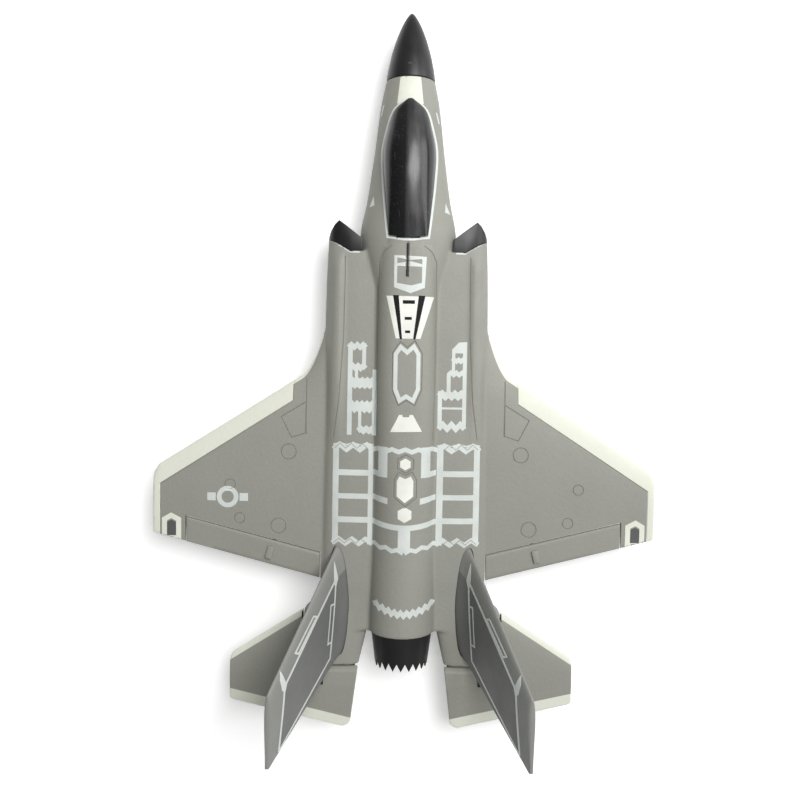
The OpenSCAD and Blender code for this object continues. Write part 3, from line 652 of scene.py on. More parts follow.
def foam_material(name, base, edge_mask=None, edge_colour=CREAM):
    """Satin paint over moulded bead foam; edge_mask draws the lighter painted edges."""
    g = Graph(name)
    beads = g.cells(520, "SMOOTH_F1")
    broad = g.noise(28, 5, 0.6)
    fine = g.noise(900, 3, 0.5)
    tone = g.math("MULTIPLY_ADD", broad, 0.30, g.math("MULTIPLY_ADD", fine, 0.22, -0.26))
    tone = g.math("MULTIPLY_ADD", beads, -0.10, g.math("ADD", tone, 0.04))
    colour = g.mix(g.math("ADD", tone, 0.5), shade(base, 0.80), shade(base, 1.22))
    if edge_mask:
        light = g.mix(g.math("ADD", tone, 0.5), shade(edge_colour, 0.88), shade(edge_colour, 1.08))
        colour = g.mix(edge_mask(g), colour, light)
    handled = g.noise(70, 6, 0.7)
    rough = g.remap(handled, 0.3, 0.75, 0.46, 0.66)
    normal = g.bump(beads, 0.00016, 0.55)
    normal = g.bump(fine, 0.00008, 0.4, normal)
    return g.finish(color=colour, rough=rough, normal=normal, spec=0.4)


# Painted edges of the wing: inboard end of the band, its rear line y = a + b |x|, the tip strip
STEP_X = 71.6
BAND_SLOPE = 0.645
BAND_LINE = (-30.7 - BAND_SLOPE * 71.7, BAND_SLOPE)
TIP_STRIP_X = 155.2
STRAKE_EDGE = 2.6


def wing_cream(g):
    """Leading edge band out to its groove, strake edge and wing tip."""
    x, y, _ = g.place_mm()
    outboard = g.step(x, STEP_X)
    band = g.math("SUBTRACT", outboard, g.beyond(BAND_LINE, x, y))
    curve = g.math("POWER", g.most(g.math("SUBTRACT", STRAKE_X, x), 0), 2)
    edge = g.math("MULTIPLY_ADD", x, LE_SLOPE, wing_le(STRAKE_X) - LE_SLOPE * STRAKE_X + STRAKE_EDGE)
    edge = g.math("MULTIPLY_ADD", curve, -STRAKE_CURVE, edge)
    strake = g.math("SUBTRACT", g.step(x, 52.6), g.step(g.math("SUBTRACT", y, edge), 0))
    return g.most(band, strake, g.step(x, TIP_STRIP_X))


def stab_cream(g):
    """Leading and trailing edge strips of the tailplane."""
    x, y, _ = g.place_mm()
    slope = (STAB_LE[1] - STAB_LE[0]) / (STAB_TIP - STAB_SPLIT)
    front = g.beyond((STAB_LE[0] + 4.2 - slope * STAB_SPLIT, slope), x, y)
    main = g.step(x, STAB_SPLIT)
    rear = g.beyond((stab_te(0) - 7, STAB_SWEEP), x, y)
    return g.most(g.math("SUBTRACT", main, front), rear)


def fin_margin(g):
    """Lighter paint ahead of and above the fin's dark panel."""
    _, y, z = g.place_mm()
    ahead = g.math("SUBTRACT", 1, g.beyond((68.2, 0.892), z, y))
    return g.most(ahead, g.beyond((55.4, 0.076), y, z))


def plain(name, colour, rough, **extra):
    """Moulded plastic or metal with faint scuffs and uneven sheen."""
    g = Graph(name)
    broad = g.noise(60, 5, 0.65)
    fine = g.noise(1400, 3, 0.6)
    tint = g.mix(broad, shade(colour, 0.80), shade(colour, 1.22))
    sheen = g.remap(broad, 0.3, 0.7, rough - 0.07, rough + 0.09)
    normal = g.bump(fine, 0.00004, 0.5)
    return g.finish(color=tint, rough=sheen, normal=normal, **extra)


def canopy_material():
    """Glossy black plastic with fine scratches, dust and a hazy painted highlight along its crown."""
    g = Graph("canopy_gloss")
    x = g.node("ShaderNodeSeparateXYZ", {"Vector": g.coords}).outputs[0]
    # Bell across the crown, a little right of the middle, where the painted highlight lies
    off = g.math("MULTIPLY_ADD", x, 1 / 0.0065, 3.8 / 6.5)
    crown = g.most(g.math("MULTIPLY_ADD", g.math("MULTIPLY", off, off), -1, 1), 0)
    # Painted highlight along the crown, broken up by noise stretched along the canopy
    crown_highlight = g.noise(60, 5, 0.7, g.stretched((3, 0.35, 1)), 0.4)
    crown_highlight = g.math("MULTIPLY", crown, g.remap(crown_highlight, 0.3, 0.7, 0.25, 1))
    along = g.noise(90, 6, 0.75, g.stretched((14, 1, 1)), 0.6)
    across = g.noise(70, 6, 0.75, g.stretched((1, 11, 4)), 0.8)
    scratch = g.most(g.step(along, 0.655, 0.02), g.step(across, 0.675, 0.02))
    dust = g.step(g.noise(1500, 2, 0.5), 0.70, 0.03)
    haze = g.noise(30, 4, 0.6)
    # Scratches and dust are real marks; the crown highlight mixed in with them is painted light
    shares = ((scratch, 0.30), (dust, 0.45), (crown_highlight, 0.42))
    marks = g.most(*(g.math("MULTIPLY", mark, share) for mark, share in shares))
    colour = g.mix(marks, (0.006, 0.006, 0.007, 1), (0.16, 0.165, 0.155, 1))
    rough = g.math("MULTIPLY_ADD", marks, 0.3, g.remap(haze, 0.3, 0.7, 0.16, 0.30))
    normal = g.bump(g.math("SUBTRACT", 1, scratch), 0.00005, 0.4)
    return g.finish(color=colour, rough=rough, normal=normal, spec=0.45)


def carbon_material():
    """Drawn carbon fibres in resin."""
    g = Graph("carbon_fibre")
    fibre = g.noise(700, 4, 0.7, g.stretched((0.06, 1, 1)))
    colour = g.mix(fibre, (0.010, 0.010, 0.012, 1), (0.070, 0.072, 0.078, 1))
    rough = g.remap(fibre, 0.3, 0.7, 0.24, 0.42)
    return g.finish(color=colour, rough=rough, normal=g.bump(fibre, 0.00004, 0.5), coat=0.3)


def metal(name, colour, rough, grain):
    """Metal with drawn or turned marks."""
    g = Graph(name)
    lines = g.noise(900, 3, 0.6, g.stretched(grain))
    tone = g.mix(lines, shade(colour, 0.82), shade(colour, 1.1))
    return g.finish(color=tone, metal=1.0, rough=g.remap(lines, 0.3, 0.7, rough, rough + 0.14),
                    normal=g.bump(lines, 0.00003, 0.4))


def woven(name, dark, light, scale):
    """Strap webbing."""
    g = Graph(name)
    wave = {"Vector": g.coords, "Scale": scale, "Distortion": 0.6}
    ways = [g.node("ShaderNodeTexWave", wave, bands_direction=way) for way in "XY"]
    threads = g.most(*(way.outputs["Fac"] for way in ways))
    colour = g.mix(g.math("MULTIPLY", threads, g.noise(300)), dark, light)
    return g.finish(color=colour, rough=0.85, normal=g.bump(threads, 0.0002, 0.7), sheen=0.3)


def board_material():
    """Circuit board with copper tracks and parts under clear shrink wrap."""
    g = Graph("wrapped_board")
    parts = g.cells(260, "F1", g.stretched((1, 1, 0.2)))
    blocks = g.step(parts, 0.46, 0.03)
    tracks = g.step(g.noise(240, 2, 0.4, g.stretched((6, 1, 1))), 0.58, 0.02)
    colour = g.mix(blocks, (0.012, 0.075, 0.030, 1), (0.015, 0.016, 0.018, 1))
    colour = g.mix(g.math("MULTIPLY", tracks, 0.6), colour, (0.30, 0.22, 0.07, 1))
    wrap = g.noise(120, 5, 0.6)
    return g.finish(color=colour, rough=g.remap(wrap, 0.3, 0.7, 0.12, 0.34),
                    normal=g.bump(g.math("ADD", blocks, wrap), 0.0003, 0.6), coat=0.8)


FOAM = foam_material("foam_paint", FOAM_GREY)
WING_FOAM = foam_material("foam_paint_wing", FOAM_GREY, wing_cream)
STAB_FOAM = foam_material("foam_paint_tail", FOAM_GREY, stab_cream)
FIN_FOAM = foam_material("fin_paint", FIN_GREY, fin_margin, FIN_EDGE)
TAPE = plain("white_tape", TAPE_WHITE, 0.42)
WHITE_PAINT = plain("white_paint", PAINT_WHITE, 0.5)
CREAM_PAINT = plain("cream_paint", CREAM, 0.55)
DARK_GREY = plain("dark_grey_paint", (0.085, 0.088, 0.085, 1), 0.5)
# Black tape for the wedge bars, also used as painted shade in the tail's gap and slit
DARK_TAPE_AND_SHADE = plain("dark_tape_and_shade", (0.010, 0.010, 0.011, 1), 0.6, spec=0.12)
SATIN_BLACK = plain("satin_black", (0.012, 0.012, 0.013, 1), 0.38, spec=0.4)
WIRE_BLACK = plain("wire_black", (0.012, 0.012, 0.012, 1), 0.55)
NYLON = plain("white_nylon", (0.80, 0.80, 0.76, 1), 0.4)
SERVO_BLUE = plain("servo_blue", (0.02, 0.075, 0.38, 1), 0.22, through=0.25, coat=0.4)
SHRINK_BLUE = plain("battery_wrap", (0.03, 0.10, 0.36, 1), 0.25, coat=0.5)
LEAD_RED = plain("lead_red", (0.42, 0.015, 0.012, 1), 0.5)
CARBON = carbon_material()
CANOPY_GLOSS = canopy_material()
STEEL = metal("steel_wire", (0.58, 0.58, 0.60, 1), 0.26, (1, 0.08, 1))
ALUMINIUM = metal("turned_aluminium", (0.72, 0.72, 0.74, 1), 0.24, (0.2, 1, 0.2))
NICKEL = metal("nickel_plate", (0.62, 0.60, 0.56, 1), 0.14, (1, 1, 1))
STRAP = woven("strap_webbing", (0.008, 0.008, 0.009, 1), (0.05, 0.05, 0.055, 1), 900)
BOARD = board_material()


# ---------------------------------------------------------------- fuselage and wings

FOAM_VOXEL = 0.9
STAB_VOXEL = 0.6
FAR = 400.0
HUMP_FOOT_Z = 8.0

# Plan of the cowl's front edge: straight beside the fuselage, slanted outboard, then raked about
# a level line across the deck
COWL_STEP_X, COWL_STEP_Y = 36.0, -126.3
COWL_SLANT = -0.618
RAKE_LINE = Matrix.Translation((0, -135, 13))
RAKE = RAKE_LINE @ Matrix.Rotation(math.radians(12), 4, "X") @ RAKE_LINE.inverted()


def cowl_edge(x, gap):
    return COWL_STEP_Y + COWL_SLANT * max(0, x - COWL_STEP_X) + gap


def ahead_of_cowl():
    """Everything in front of the intake cowl's edge."""
    edge = [(0, COWL_STEP_Y), (COWL_STEP_X, COWL_STEP_Y), (70, cowl_edge(70, 0)), (70, -210), (0, -210)]
    block = prism("cowl_cut", edge, -80, 80)
    block.data.transform(RAKE)
    return block


def rear_hump():
    """Fairing from the canopy's rear edge to the spine."""
    half_w, top = CANOPY[-1][1:]
    a = turns(40)
    rings = []
    for y in np.linspace(CANOPY_REAR, -92, 16):
        edge = fore_z(half_w, y, True)
        z = np.where(a <= math.pi, edge - 0.3 + (top - edge) * np.sin(a), HUMP_FOOT_Z)
        rings.append(at_station(y, half_w * np.cos(a), z))
    return loft("hump", rings)


def wing_blank():
    xs = [WING_IN, WING_ROOT] + list(np.linspace(53, STRAKE_X, 14)) + [90, 120, 140]
    xs += [HALF_SPAN - TIP_CORNER, HALF_SPAN]
    return loft("wing", [
        foil_ring(x, wing_le(max(WING_ROOT, x)), wing_te(x), wing_t(x), WING_Z) for x in xs])


def fuselage_blank():
    stations = np.linspace(NOSE_Y, -60, 120)
    body = loft("fore", [section(FORE, y, fore_z, 160) for y in stations])
    stations = np.concatenate([np.linspace(-146, 80, 90), np.linspace(83, BARREL_END, 24)])
    trunk = loft("trunk", [section(TRUNK, y, trunk_z, 440) for y in stations])
    cut(trunk, both(ahead_of_cowl))
    boom = both(lambda: loft("boom", [boom_ring(y, 96) for y in np.linspace(104, BOOM_END, 20)]))
    union(body, [trunk, rear_hump()] + boom + both(wing_blank))
    modified(body, "REMESH", mode="VOXEL", voxel_size=FOAM_VOXEL)
    return modified(body, "SMOOTH", factor=0.5, iterations=3)


FAN_FRONT, FAN_BORE = 14.0, 17.1
HOUSING_R, TUBE_END, NOZZLE_R = 18.2, 106.0, 19.5
# Rounded sections of an intake duct: y, x, z, half width, half height, squareness
DUCT = [
    (-156, 41, -5, 8.2, 13.4, 0.7), (-122, 40.4, -5, 7.8, 12.6, 0.7), (-88, 37, -5, 8, 11, 0.8),
    (-55, 30, -3.4, 9, 11.4, 0.9), (-20, 17, -1.4, 10.5, 12.5, 1),
    (FAN_FRONT, 0, 0, FAN_BORE, FAN_BORE, 1),
]


def duct():
    across, up = np.cos(turns(48)), np.sin(turns(48))
    rings = []
    for y, cx, cz, half_w, half_h, power in DUCT:
        x = cx + half_w * np.sign(across) * np.abs(across) ** power
        z = cz + half_h * np.sign(up) * np.abs(up) ** power
        rings.append(at_station(y, x, z))
    return loft("duct", rings)


def canopy_outline(inset, a, b):
    ys = np.linspace(a, b, 40)
    return [(canopy_w(y) - inset, y) for y in ys] + [(inset - canopy_w(y), y) for y in ys[::-1]]


SPAR_R = 1.6
BEARING_R = 2.65
SERVO = {"fore": 6, "aft": 14, "w": 8.6, "h": 16, "ear_x": 5, "ear_t": 1.6, "ear_l": 3}
FIT = 0.3
TAIL_LINK = Matrix.Translation((48.2, 0, 0))
WING_LINK = Matrix.Translation((80, hinge_y(80), 0)) @ Matrix.Rotation(math.atan(HINGE_SLOPE), 4, "Z")


def servo_pocket(link, y, z):
    """Pocket for a servo lying on its side, open to the underside."""
    s = SERVO
    low, deep = z - s["w"] / 2, 60
    case = box("pocket", (-s["h"] - FIT, y - s["aft"] - FIT, low - deep),
               (FIT, y + s["fore"] + FIT, z + s["w"] / 2 + FIT))
    ears = box("ears", (-s["ear_x"] - FIT, y - s["aft"] - s["ear_l"] - 0.4, low - deep),
               (-s["ear_x"] + s["ear_t"] + FIT, y + s["fore"] + s["ear_l"] + 0.4, z + s["w"] / 2 + FIT))
    room = box("arm_room", (-0.05, y - 6.4, z - deep), (5.95, y + 6.4, z + 3.6))
    union(case, [ears, room])
    case.data.transform(link)
    return case


def aileron_bay():
    lead = HINGE_R[0] + HINGE_GAP
    a, b = AIL_IN - HINGE_GAP, AIL_OUT + HINGE_GAP
    outline = [(a, hinge_y(AIL_IN) - lead), (b, hinge_y(AIL_OUT) - lead), (b, wing_te(AIL_OUT) + 4),
               (a, wing_te(AIL_IN) + 4)]
    return prism("bay", outline, -40, 40)


def fin_ring(z, grow=0.0, thin=1.0, trim=0.0):
    """Level section through a fin, with its fairing near the root."""
    t = fin_mix(FIN_T, max(z, FIN_ROOT_Z))
    pad = 4.4 * math.exp(-((max(0, z - FIN_BASE_Z) / 6.5) ** 2))
    y0, y1 = fin_mix(FIN_LE, z) - grow + trim, fin_mix(FIN_TE, z) + grow - trim
    ring = foil_ring(0, y0, y1, thin * t / math.cos(FIN_CANT), 0)
    along = np.abs(2 * (ring[:, 1] - y0) / (y1 - y0) - 1)
    side = np.where(ring[:, 2] > 0, 0.5, -1)
    ring[:, 2] += side * (pad + grow) * np.maximum(0, 1 - along**2.6) ** (1 / 2.6)
    return np.column_stack([fin_x(z) + ring[:, 2], ring[:, 1], np.full(len(ring), z)])


def fin_recess():
    return loft("recess", [fin_ring(z, 0.8) for z in (FIN_BASE_Z - 0.25, 6, 8, 10, 13, 17, 24)])


def spar_slot():
    slot = turned("spar", (28, 0, WING_Z), (122, 0, WING_Z), SPAR_R)
    return union(slot, [box("spar_open", (28, -SPAR_R, PARTING_Z - 0.05), (122, SPAR_R, WING_Z))])


LEDGE_Y, LEDGE_Z, TAB_Z = -207.0, 8.9, 17.1
MAGNET_X, MAGNET_R, MAGNET_FRONT_Y, MAGNET_REAR_Y = 3.4, 2.1, -210.6, -137.6


def cavities():
    """Everything hollowed out of the two mouldings, as one cutter."""
    inset = CANOPY_WALL + 0.2
    first = prism("hollows", canopy_outline(inset, -214.6, HATCH_REAR), LEDGE_Z, 49)
    well = [(max(-13.2, min(13.2, x)), y) for x, y in canopy_outline(inset, LEDGE_Y, HATCH_REAR)]
    others = [
        prism("well", well, -14, 26),
        box("tab", (-7, HATCH_REAR - 1, TAB_Z - 0.1), (7, CANOPY_REAR - 0.2, 40)),
        box("electronics", (-14, -142, -14), (14, -62, 8)),
        turned("nose_bore", (0, NOSE_Y - 1, NOSE_Z), (0, NOSE_Y + 7, NOSE_Z), 11.4),
        turned("antenna", (0, -131, 24.6), (0, -109, 24.6), 1),
        turned("fan_bore", (0, FAN_FRONT - 0.4, 0), (0, TUBE_END + 0.2, 0), HOUSING_R + 0.3),
        turned("nozzle_bore", (0, TUBE_END, 0), (0, BARREL_END + 1, 0), NOZZLE_R + 0.3),
    ]
    for x in (-MAGNET_X, MAGNET_X):
        for y, z0, z1 in ((MAGNET_FRONT_Y, 7.6, 9.5), (MAGNET_REAR_Y, 15.7, 17.4)):
            others.append(turned("magnet", (x, y, z0), (x, y, z1), MAGNET_R))
    others += both(duct) + both(spar_slot) + both(aileron_bay) + both(fin_recess)
    others += both(lambda: servo_pocket(TAIL_LINK, 93, -6.4))
    others += both(lambda: servo_pocket(WING_LINK, -38, -1.2))
    others += both(lambda: turned("bearing", (35, PIVOT_Y, STAB_Z), (70, PIVOT_Y, STAB_Z), BEARING_R))
    return union(first, others)


# Engraved lines of the left half, seen from above
GROOVES = [
    [(STEP_X, -44.5), (STEP_X, -30.8), (STEP_X + 0.4, -30.4), (TIP_STRIP_X, -30.3 + BAND_SLOPE * 83.6)],
    [(TIP_STRIP_X, 23.6), (TIP_STRIP_X, 53.5)],
    [(63.3, -45), (62.8, -10)],
    [(10, -128.6), (15, -125), (18, -119), (18.3, -60), (17.4, -8)],
    [(39.4, -122.5), (39.2, -112), (39.6, -70), (42, -32), (45.5, -8)],
]
RINGS = [(73.7, 1.8, 4.8), (110.8, 23.4, 3.3), (104.5, 45, 3.3), (79.7, 49.4, 4.8)]
ACCESS_PANEL = [(78.8, -20.4), (63.2, -30), (63.2, -10.2), (72, -7.4)]
OCTAGON = [(3.4, -66.2), (-0.6, -62.8), (-4.7, -66.6), (-7.6, -61.7), (-7.6, -40.2), (-4.6, -33.2),
           (-0.4, -35.8), (3.6, -33.2), (6.4, -40.2), (6.4, -61.7)]
LONG_SEAL = [(4.4, 16.5), (4.4, 26), (-0.7, 30.1), (-5.8, 26), (-5.8, 16.5), (-4.2, 13.5),
             (-0.7, 15.2), (2.8, 13.5)]


def seal(r, y):
    """Six-sided seal on the spine."""
    return polygon(6, r, -0.7, y, math.pi / 6)


def engraving(skin):
    """Cutter for every panel line and round mark on the upper moulding."""
    top = Plane(surface_of(skin))
    lines = [(path, False, 0.9) for path in GROOVES] + [(ACCESS_PANEL, True, 0.7)]
    lines += [(polygon(40, r, x, y), True, 0.9) for x, y, r in RINGS]
    cutters = []
    for outline in (grown(OCTAGON, 2.2), grown(LONG_SEAL, 1.9), seal(5.7, 6.1)):
        cutters.append(groove_cutter("line", outline, top, True, 0.9))
    for path, closed, width in lines:
        for side in SIDES.values():
            cutters.append(groove_cutter("line", sided(side, path), top, closed, width))
    return cutters


def build_mouldings():
    """Cuts the blank at the parting plane, hollows it and returns the upper skin's surface."""
    blank = fuselage_blank()
    hollow = cavities()
    upper = copy_of(blank, "upper")
    for half, low, high in ((upper, PARTING_Z, FAR), (blank, BELLY_Z, PARTING_Z - PARTING_GAP)):
        combine(half, [box("keep", (-FAR, -FAR, low), (FAR, FAR, high))], "INTERSECT")
    cut(upper, [copy_of(hollow, "hollow_2")] + engraving(upper))
    cut(blank, [hollow])
    skin = surface_of(upper)
    place(upper, "upper_moulding", "airframe", WING_FOAM, ["upper_foam"])
    place(blank, "lower_moulding", "airframe", FOAM, ["lower_foam"])
    return skin


SKIN = build_mouldings()

# ---------------------------------------------------------------- canopy

CANOPY_SEAT = 0.15
TABLE_END = -217.4


def canopy_ring(y, inset, n=48):
    """Half ring of the canopy shell, its top pressed in over the ends."""
    w = max(0.3, canopy_w(y) - inset)
    edge = fore_z(w, y, True) + CANOPY_SEAT
    a = np.arange(n + 1) * math.pi / n
    rise = track(CANOPY, y, 2) - inset - edge
    return at_station(y, w * np.cos(a), edge + rise * np.sin(a) ** 0.9)


def canopy_shell():
    ys = [CANOPY_FRONT, -220.6, -219.5, -218.4, TABLE_END]
    ys += list(np.linspace(-216, CANOPY_REAR - 0.15, 54))
    rings = []
    for y in ys:
        wall = 0.7 if y < -217 else CANOPY_WALL
        rings.append(np.vstack([canopy_ring(y, 0), canopy_ring(y, wall)[::-1]]))
    shell = loft("canopy", rings)
    corner = canopy_w(CANOPY_REAR) + 1
    vee = [(corner, CANOPY_REAR - 2.4), (2.6, CANOPY_REAR - 0.4), (-2.6, CANOPY_REAR - 0.4),
           (-corner, CANOPY_REAR - 2.4), (-corner, CANOPY_REAR + 3), (corner, CANOPY_REAR + 3)]
    cut(shell, [
        box("tab_slot", (-6.3, HATCH_REAR - 3, TAB_Z - 0.3), (6.3, CANOPY_REAR - 1.3, TAB_Z + 2.1)),
        prism("rear_vee", vee, 19.5, 60),
        turned("thumb", (0, CANOPY_REAR - 0.2, 23.6), (0, CANOPY_REAR + 4, 26.4), 2.3, 48)])
    return shell


place(canopy_shell(), "canopy_glazing", "canopy", CANOPY_GLOSS, ["canopy_shell"])


def canopy_tray():
    rings = []
    for y in np.linspace(-214.2, HATCH_REAR - 0.5, 24):
        w, e = canopy_w(y) - CANOPY_WALL - 0.5, canopy_edge(y)
        low = max(LEDGE_Z + 0.3, e - 4.4)
        rings.append(np.array([(w, y, e + 0.8), (0, y, e + 2.2), (-w, y, e + 0.8), (-w, y, low),
                               (w, y, low)]))
    tray = loft("tray", rings)
    tab = box("tab", (-6, HATCH_REAR - 3, TAB_Z), (6, CANOPY_REAR - 1.6, TAB_Z + 1.8))
    pockets = []
    for x in (-MAGNET_X, MAGNET_X):
        for y, z in ((MAGNET_FRONT_Y, LEDGE_Z + 0.1), (MAGNET_REAR_Y, TAB_Z - 0.1)):
            pockets.append(turned("pocket", (x, y, z), (x, y, z + 1.6), MAGNET_R))
    return cut(union(tray, [tab]), pockets)


place(canopy_tray(), "canopy_tray", "canopy", FOAM, ["canopy_base"])

# ---------------------------------------------------------------- nose cone, intake lips, exhaust

CONE_L, CONE_WALL = 44.8, 1.4


def revolved(name, profile, axis_z=0.0, n=96):
    """Solid of revolution about the fore-aft axis; profile is a closed loop of (y, radius)."""
    rings = [[(r * math.cos(t), y, axis_z + r * math.sin(t)) for y, r in profile] for t in turns(n)]
    obj = loft(name, rings, joined=True)
    with edited(obj.data) as bm:
        bmesh.ops.remove_doubles(bm, verts=bm.verts, dist=1e-4)
        bmesh.ops.dissolve_degenerate(bm, edges=bm.edges, dist=1e-4)
        bmesh.ops.recalc_face_normals(bm, faces=bm.faces)
    return obj


def cone_profile(u):
    return (1 - u**1.4) ** 0.7


def nose_cone():
    """Ogive shell with a rounded tip; the spigot at its foot plugs into the foam."""
    foot = NOSE_Y - 0.1
    outer = [(foot - CONE_L * u, CONE_R * cone_profile(u)) for u in np.linspace(0, 1, 45)]
    inner = [(foot - (CONE_L - 4) * u, (CONE_R - CONE_WALL) * cone_profile(u))
             for u in np.linspace(1, 0.05, 30)]
    spigot = [(foot - 2, 9.6), (foot + 6.4, 9.6), (foot + 6.4, 11), (foot, 11), (foot, CONE_R - 0.4)]
    cone = revolved("cone", outer[1:] + inner + spigot + [(foot - 0.4, CONE_R)], NOSE_Z)
    dent = [(-2.6, -15.4), (2.4, -15.4), (0.2, -18.4)]
    mark = prism("crease", [(x, foot + y / 2) for x, y in dent], NOSE_Z + CONE_R - 1.4, 30)
    return cut(cone, [mark])


place(nose_cone(), "nose_cone_shell", "airframe", SATIN_BLACK, ["nose_cone"])

LIP_Y = -134


def lip_outline(inner_x, n=36):
    """Cowl section at the intake from the deck round to the belly."""
    w = float(track(TRUNK, LIP_Y, 1))
    xs = inner_x + (w - inner_x) * np.sin(np.linspace(0, math.pi / 2, n))
    top = list(zip(xs, trunk_z(xs, LIP_Y, True)))
    low = list(zip(xs, trunk_z(xs, LIP_Y, False)))
    return top + low[-2::-1]


def along_y(name, outline, y0, y1):
    return loft(name, [[(x, y, z) for x, z in outline] for y in (y0, y1)])


def intake_lip():
    """Hollow front of the intake cowl, with a slanted, raked edge."""
    lip = along_y("lip", lip_outline(28.6), -170, -110)
    hollow = [Vector(p) for p in lip_outline(16.6)]
    inward = mitres(hollow, True)
    middle = sum(hollow, Vector((0, 0))) / len(hollow)
    sign = 1 if (middle - hollow[10]).dot(inward[10]) > 0 else -1
    hollow = [p + 2 * sign * v for p, v in zip(hollow, inward)]
    plan = [(28, -133.6), (30.6, -135.5), (43.6, -145.6), (46.2, -143.6), (48.8, -140), (50.6, -136),
            (51.5, cowl_edge(51.5, -0.1)), (COWL_STEP_X, cowl_edge(0, -0.1)), (28, cowl_edge(0, -0.1))]
    keep = prism("lip_plan", plan, -60, 60)
    keep.data.transform(RAKE)
    cut(lip, [along_y("lip_hollow", hollow, -175, -105)])
    combine(lip, [keep], "INTERSECT")
    return modified(lip, "BEVEL", width=0.45, segments=3, angle_limit=math.radians(50))


def pair(obj, name, body, slot, material, node, sharp=35):
    """Places a left piece and its mirror image."""
    twin = copy_of(obj, name, mirrored=True)
    for side, piece in (("left", obj), ("right", twin)):
        where = body.format(side)
        place(piece, f"{name}_{side}", where, material, [f"{node}_{side}"] if node else (), sharp)


pair(intake_lip(), "cowl_lip", "airframe", "black_satin", SATIN_BLACK, "intake_lip")

NOZZLE_TIP, NOZZLE_TIP_R, NOZZLE_WALL = 137.0, 16.6, 1.1
NOZZLE_TEETH, TOOTH_L = 20, 5.0


def exhaust():
    """Tapered tail pipe ring whose rear edge is cut into even teeth."""
    cone_y = BARREL_END + 0.2
    per_tooth = 8
    count = NOZZLE_TEETH * per_tooth
    rings = []
    for k in range(count):
        turn = 2 * math.pi * k / count
        u = abs((k % per_tooth) / per_tooth * 2 - 1)
        end = NOZZLE_TIP - TOOTH_L * (1 - u)
        taper = (NOZZLE_R - NOZZLE_TIP_R) / (NOZZLE_TIP - cone_y)
        profile = [(TUBE_END + 0.2, NOZZLE_R), (cone_y, NOZZLE_R)]
        profile += [(y, NOZZLE_R - taper * (y - cone_y)) for y in np.linspace(cone_y + 2, end - 0.4, 6)]
        r = NOZZLE_R - taper * (end - cone_y)
        profile += [(end, r - 0.3), (end, r - NOZZLE_WALL + 0.3)]
        profile += [(y, NOZZLE_R - NOZZLE_WALL - taper * (y - cone_y))
                    for y in np.linspace(end - 0.4, cone_y + 2, 6)]
        profile += [(cone_y, NOZZLE_R - NOZZLE_WALL), (TUBE_END + 0.2, NOZZLE_R - NOZZLE_WALL)]
        rings.append([(q * math.cos(turn), y, q * math.sin(turn)) for y, q in profile])
    return loft("exhaust", rings, joined=True)


place(exhaust(), "exhaust_ring", "airframe", SATIN_BLACK, ["exhaust_nozzle"], 25)

# ---------------------------------------------------------------- ducted fan

ROTOR_R, HUB_R, BLADES = 16.5, 7.6, 8
BLADE_MID = 23.0


def blade():
    """Twisted, cambered blade along +Z."""
    rings = []
    for r in np.linspace(HUB_R - 1.2, ROTOR_R, 9):
        pitch = math.radians(50 - 20 * (r - HUB_R) / (ROTOR_R - HUB_R))
        chord = 9.2 - 0.16 * (r - HUB_R)
        ring = foil_ring(0, -chord / 2, chord / 2, 0.9, 0, 10)
        x = ring[:, 2] * 0.7 + 0.5 * (1 - (2 * ring[:, 1] / chord) ** 2)
        across = x * math.cos(pitch) - ring[:, 1] * math.sin(pitch)
        along = x * math.sin(pitch) + ring[:, 1] * math.cos(pitch)
        drop = r - np.sqrt(np.maximum(r**2 - across**2, 0))
        rings.append(np.column_stack([across, BLADE_MID + along * 0.92, r - drop]))
    return loft("blade", rings)


def fan_rotor():
    hub = [(18.6, 0), (18.6, HUB_R - 0.5), (19.1, HUB_R), (27.6, HUB_R), (28, HUB_R - 0.4),
           (28, HUB_R - 1.6), (20.4, HUB_R - 1.6), (20.4, 0)]
    rotor = revolved("rotor", hub)
    blades = []
    for k in range(BLADES):
        one = blade()
        one.data.transform(Matrix.Rotation(2 * math.pi * k / BLADES, 4, "Y"))
        blades.append(one)
    union(rotor, blades)
    bore = turned("shaft_bore", (0, 18.9, 0), (0, 30, 0), 1.02, n=32)
    tips = revolved("tips", [(10, ROTOR_R), (36, ROTOR_R), (36, ROTOR_R + 6), (10, ROTOR_R + 6)])
    return cut(rotor, [bore, tips])


def fan_spinner():
    nose = [(18.4 - 11 * u, HUB_R * (1 - u**2) ** 0.6) for u in np.linspace(0, 1, 33)]
    return revolved("spinner", [(18.4, 0)] + nose)


place(fan_rotor(), "fan_blades", "fan", SATIN_BLACK, ["fan_rotor"])
place(fan_spinner(), "fan_cap", "fan", ALUMINIUM, ["fan_spinner"])

# ---------------------------------------------------------------- control surfaces and fins

AIL_TE_T = 1.5
HORN_X, LEG_GAP, LEG_R = 3.3, 2.2, 0.6


def leg_holes(link, y):
    holes = []
    for dy in (-LEG_GAP, LEG_GAP):
        hole = turned("leg", (HORN_X, y + dy, -12), (HORN_X, y + dy, 14), LEG_R, n=24)
        hole.data.transform(link)
        holes.append(hole)
    return holes


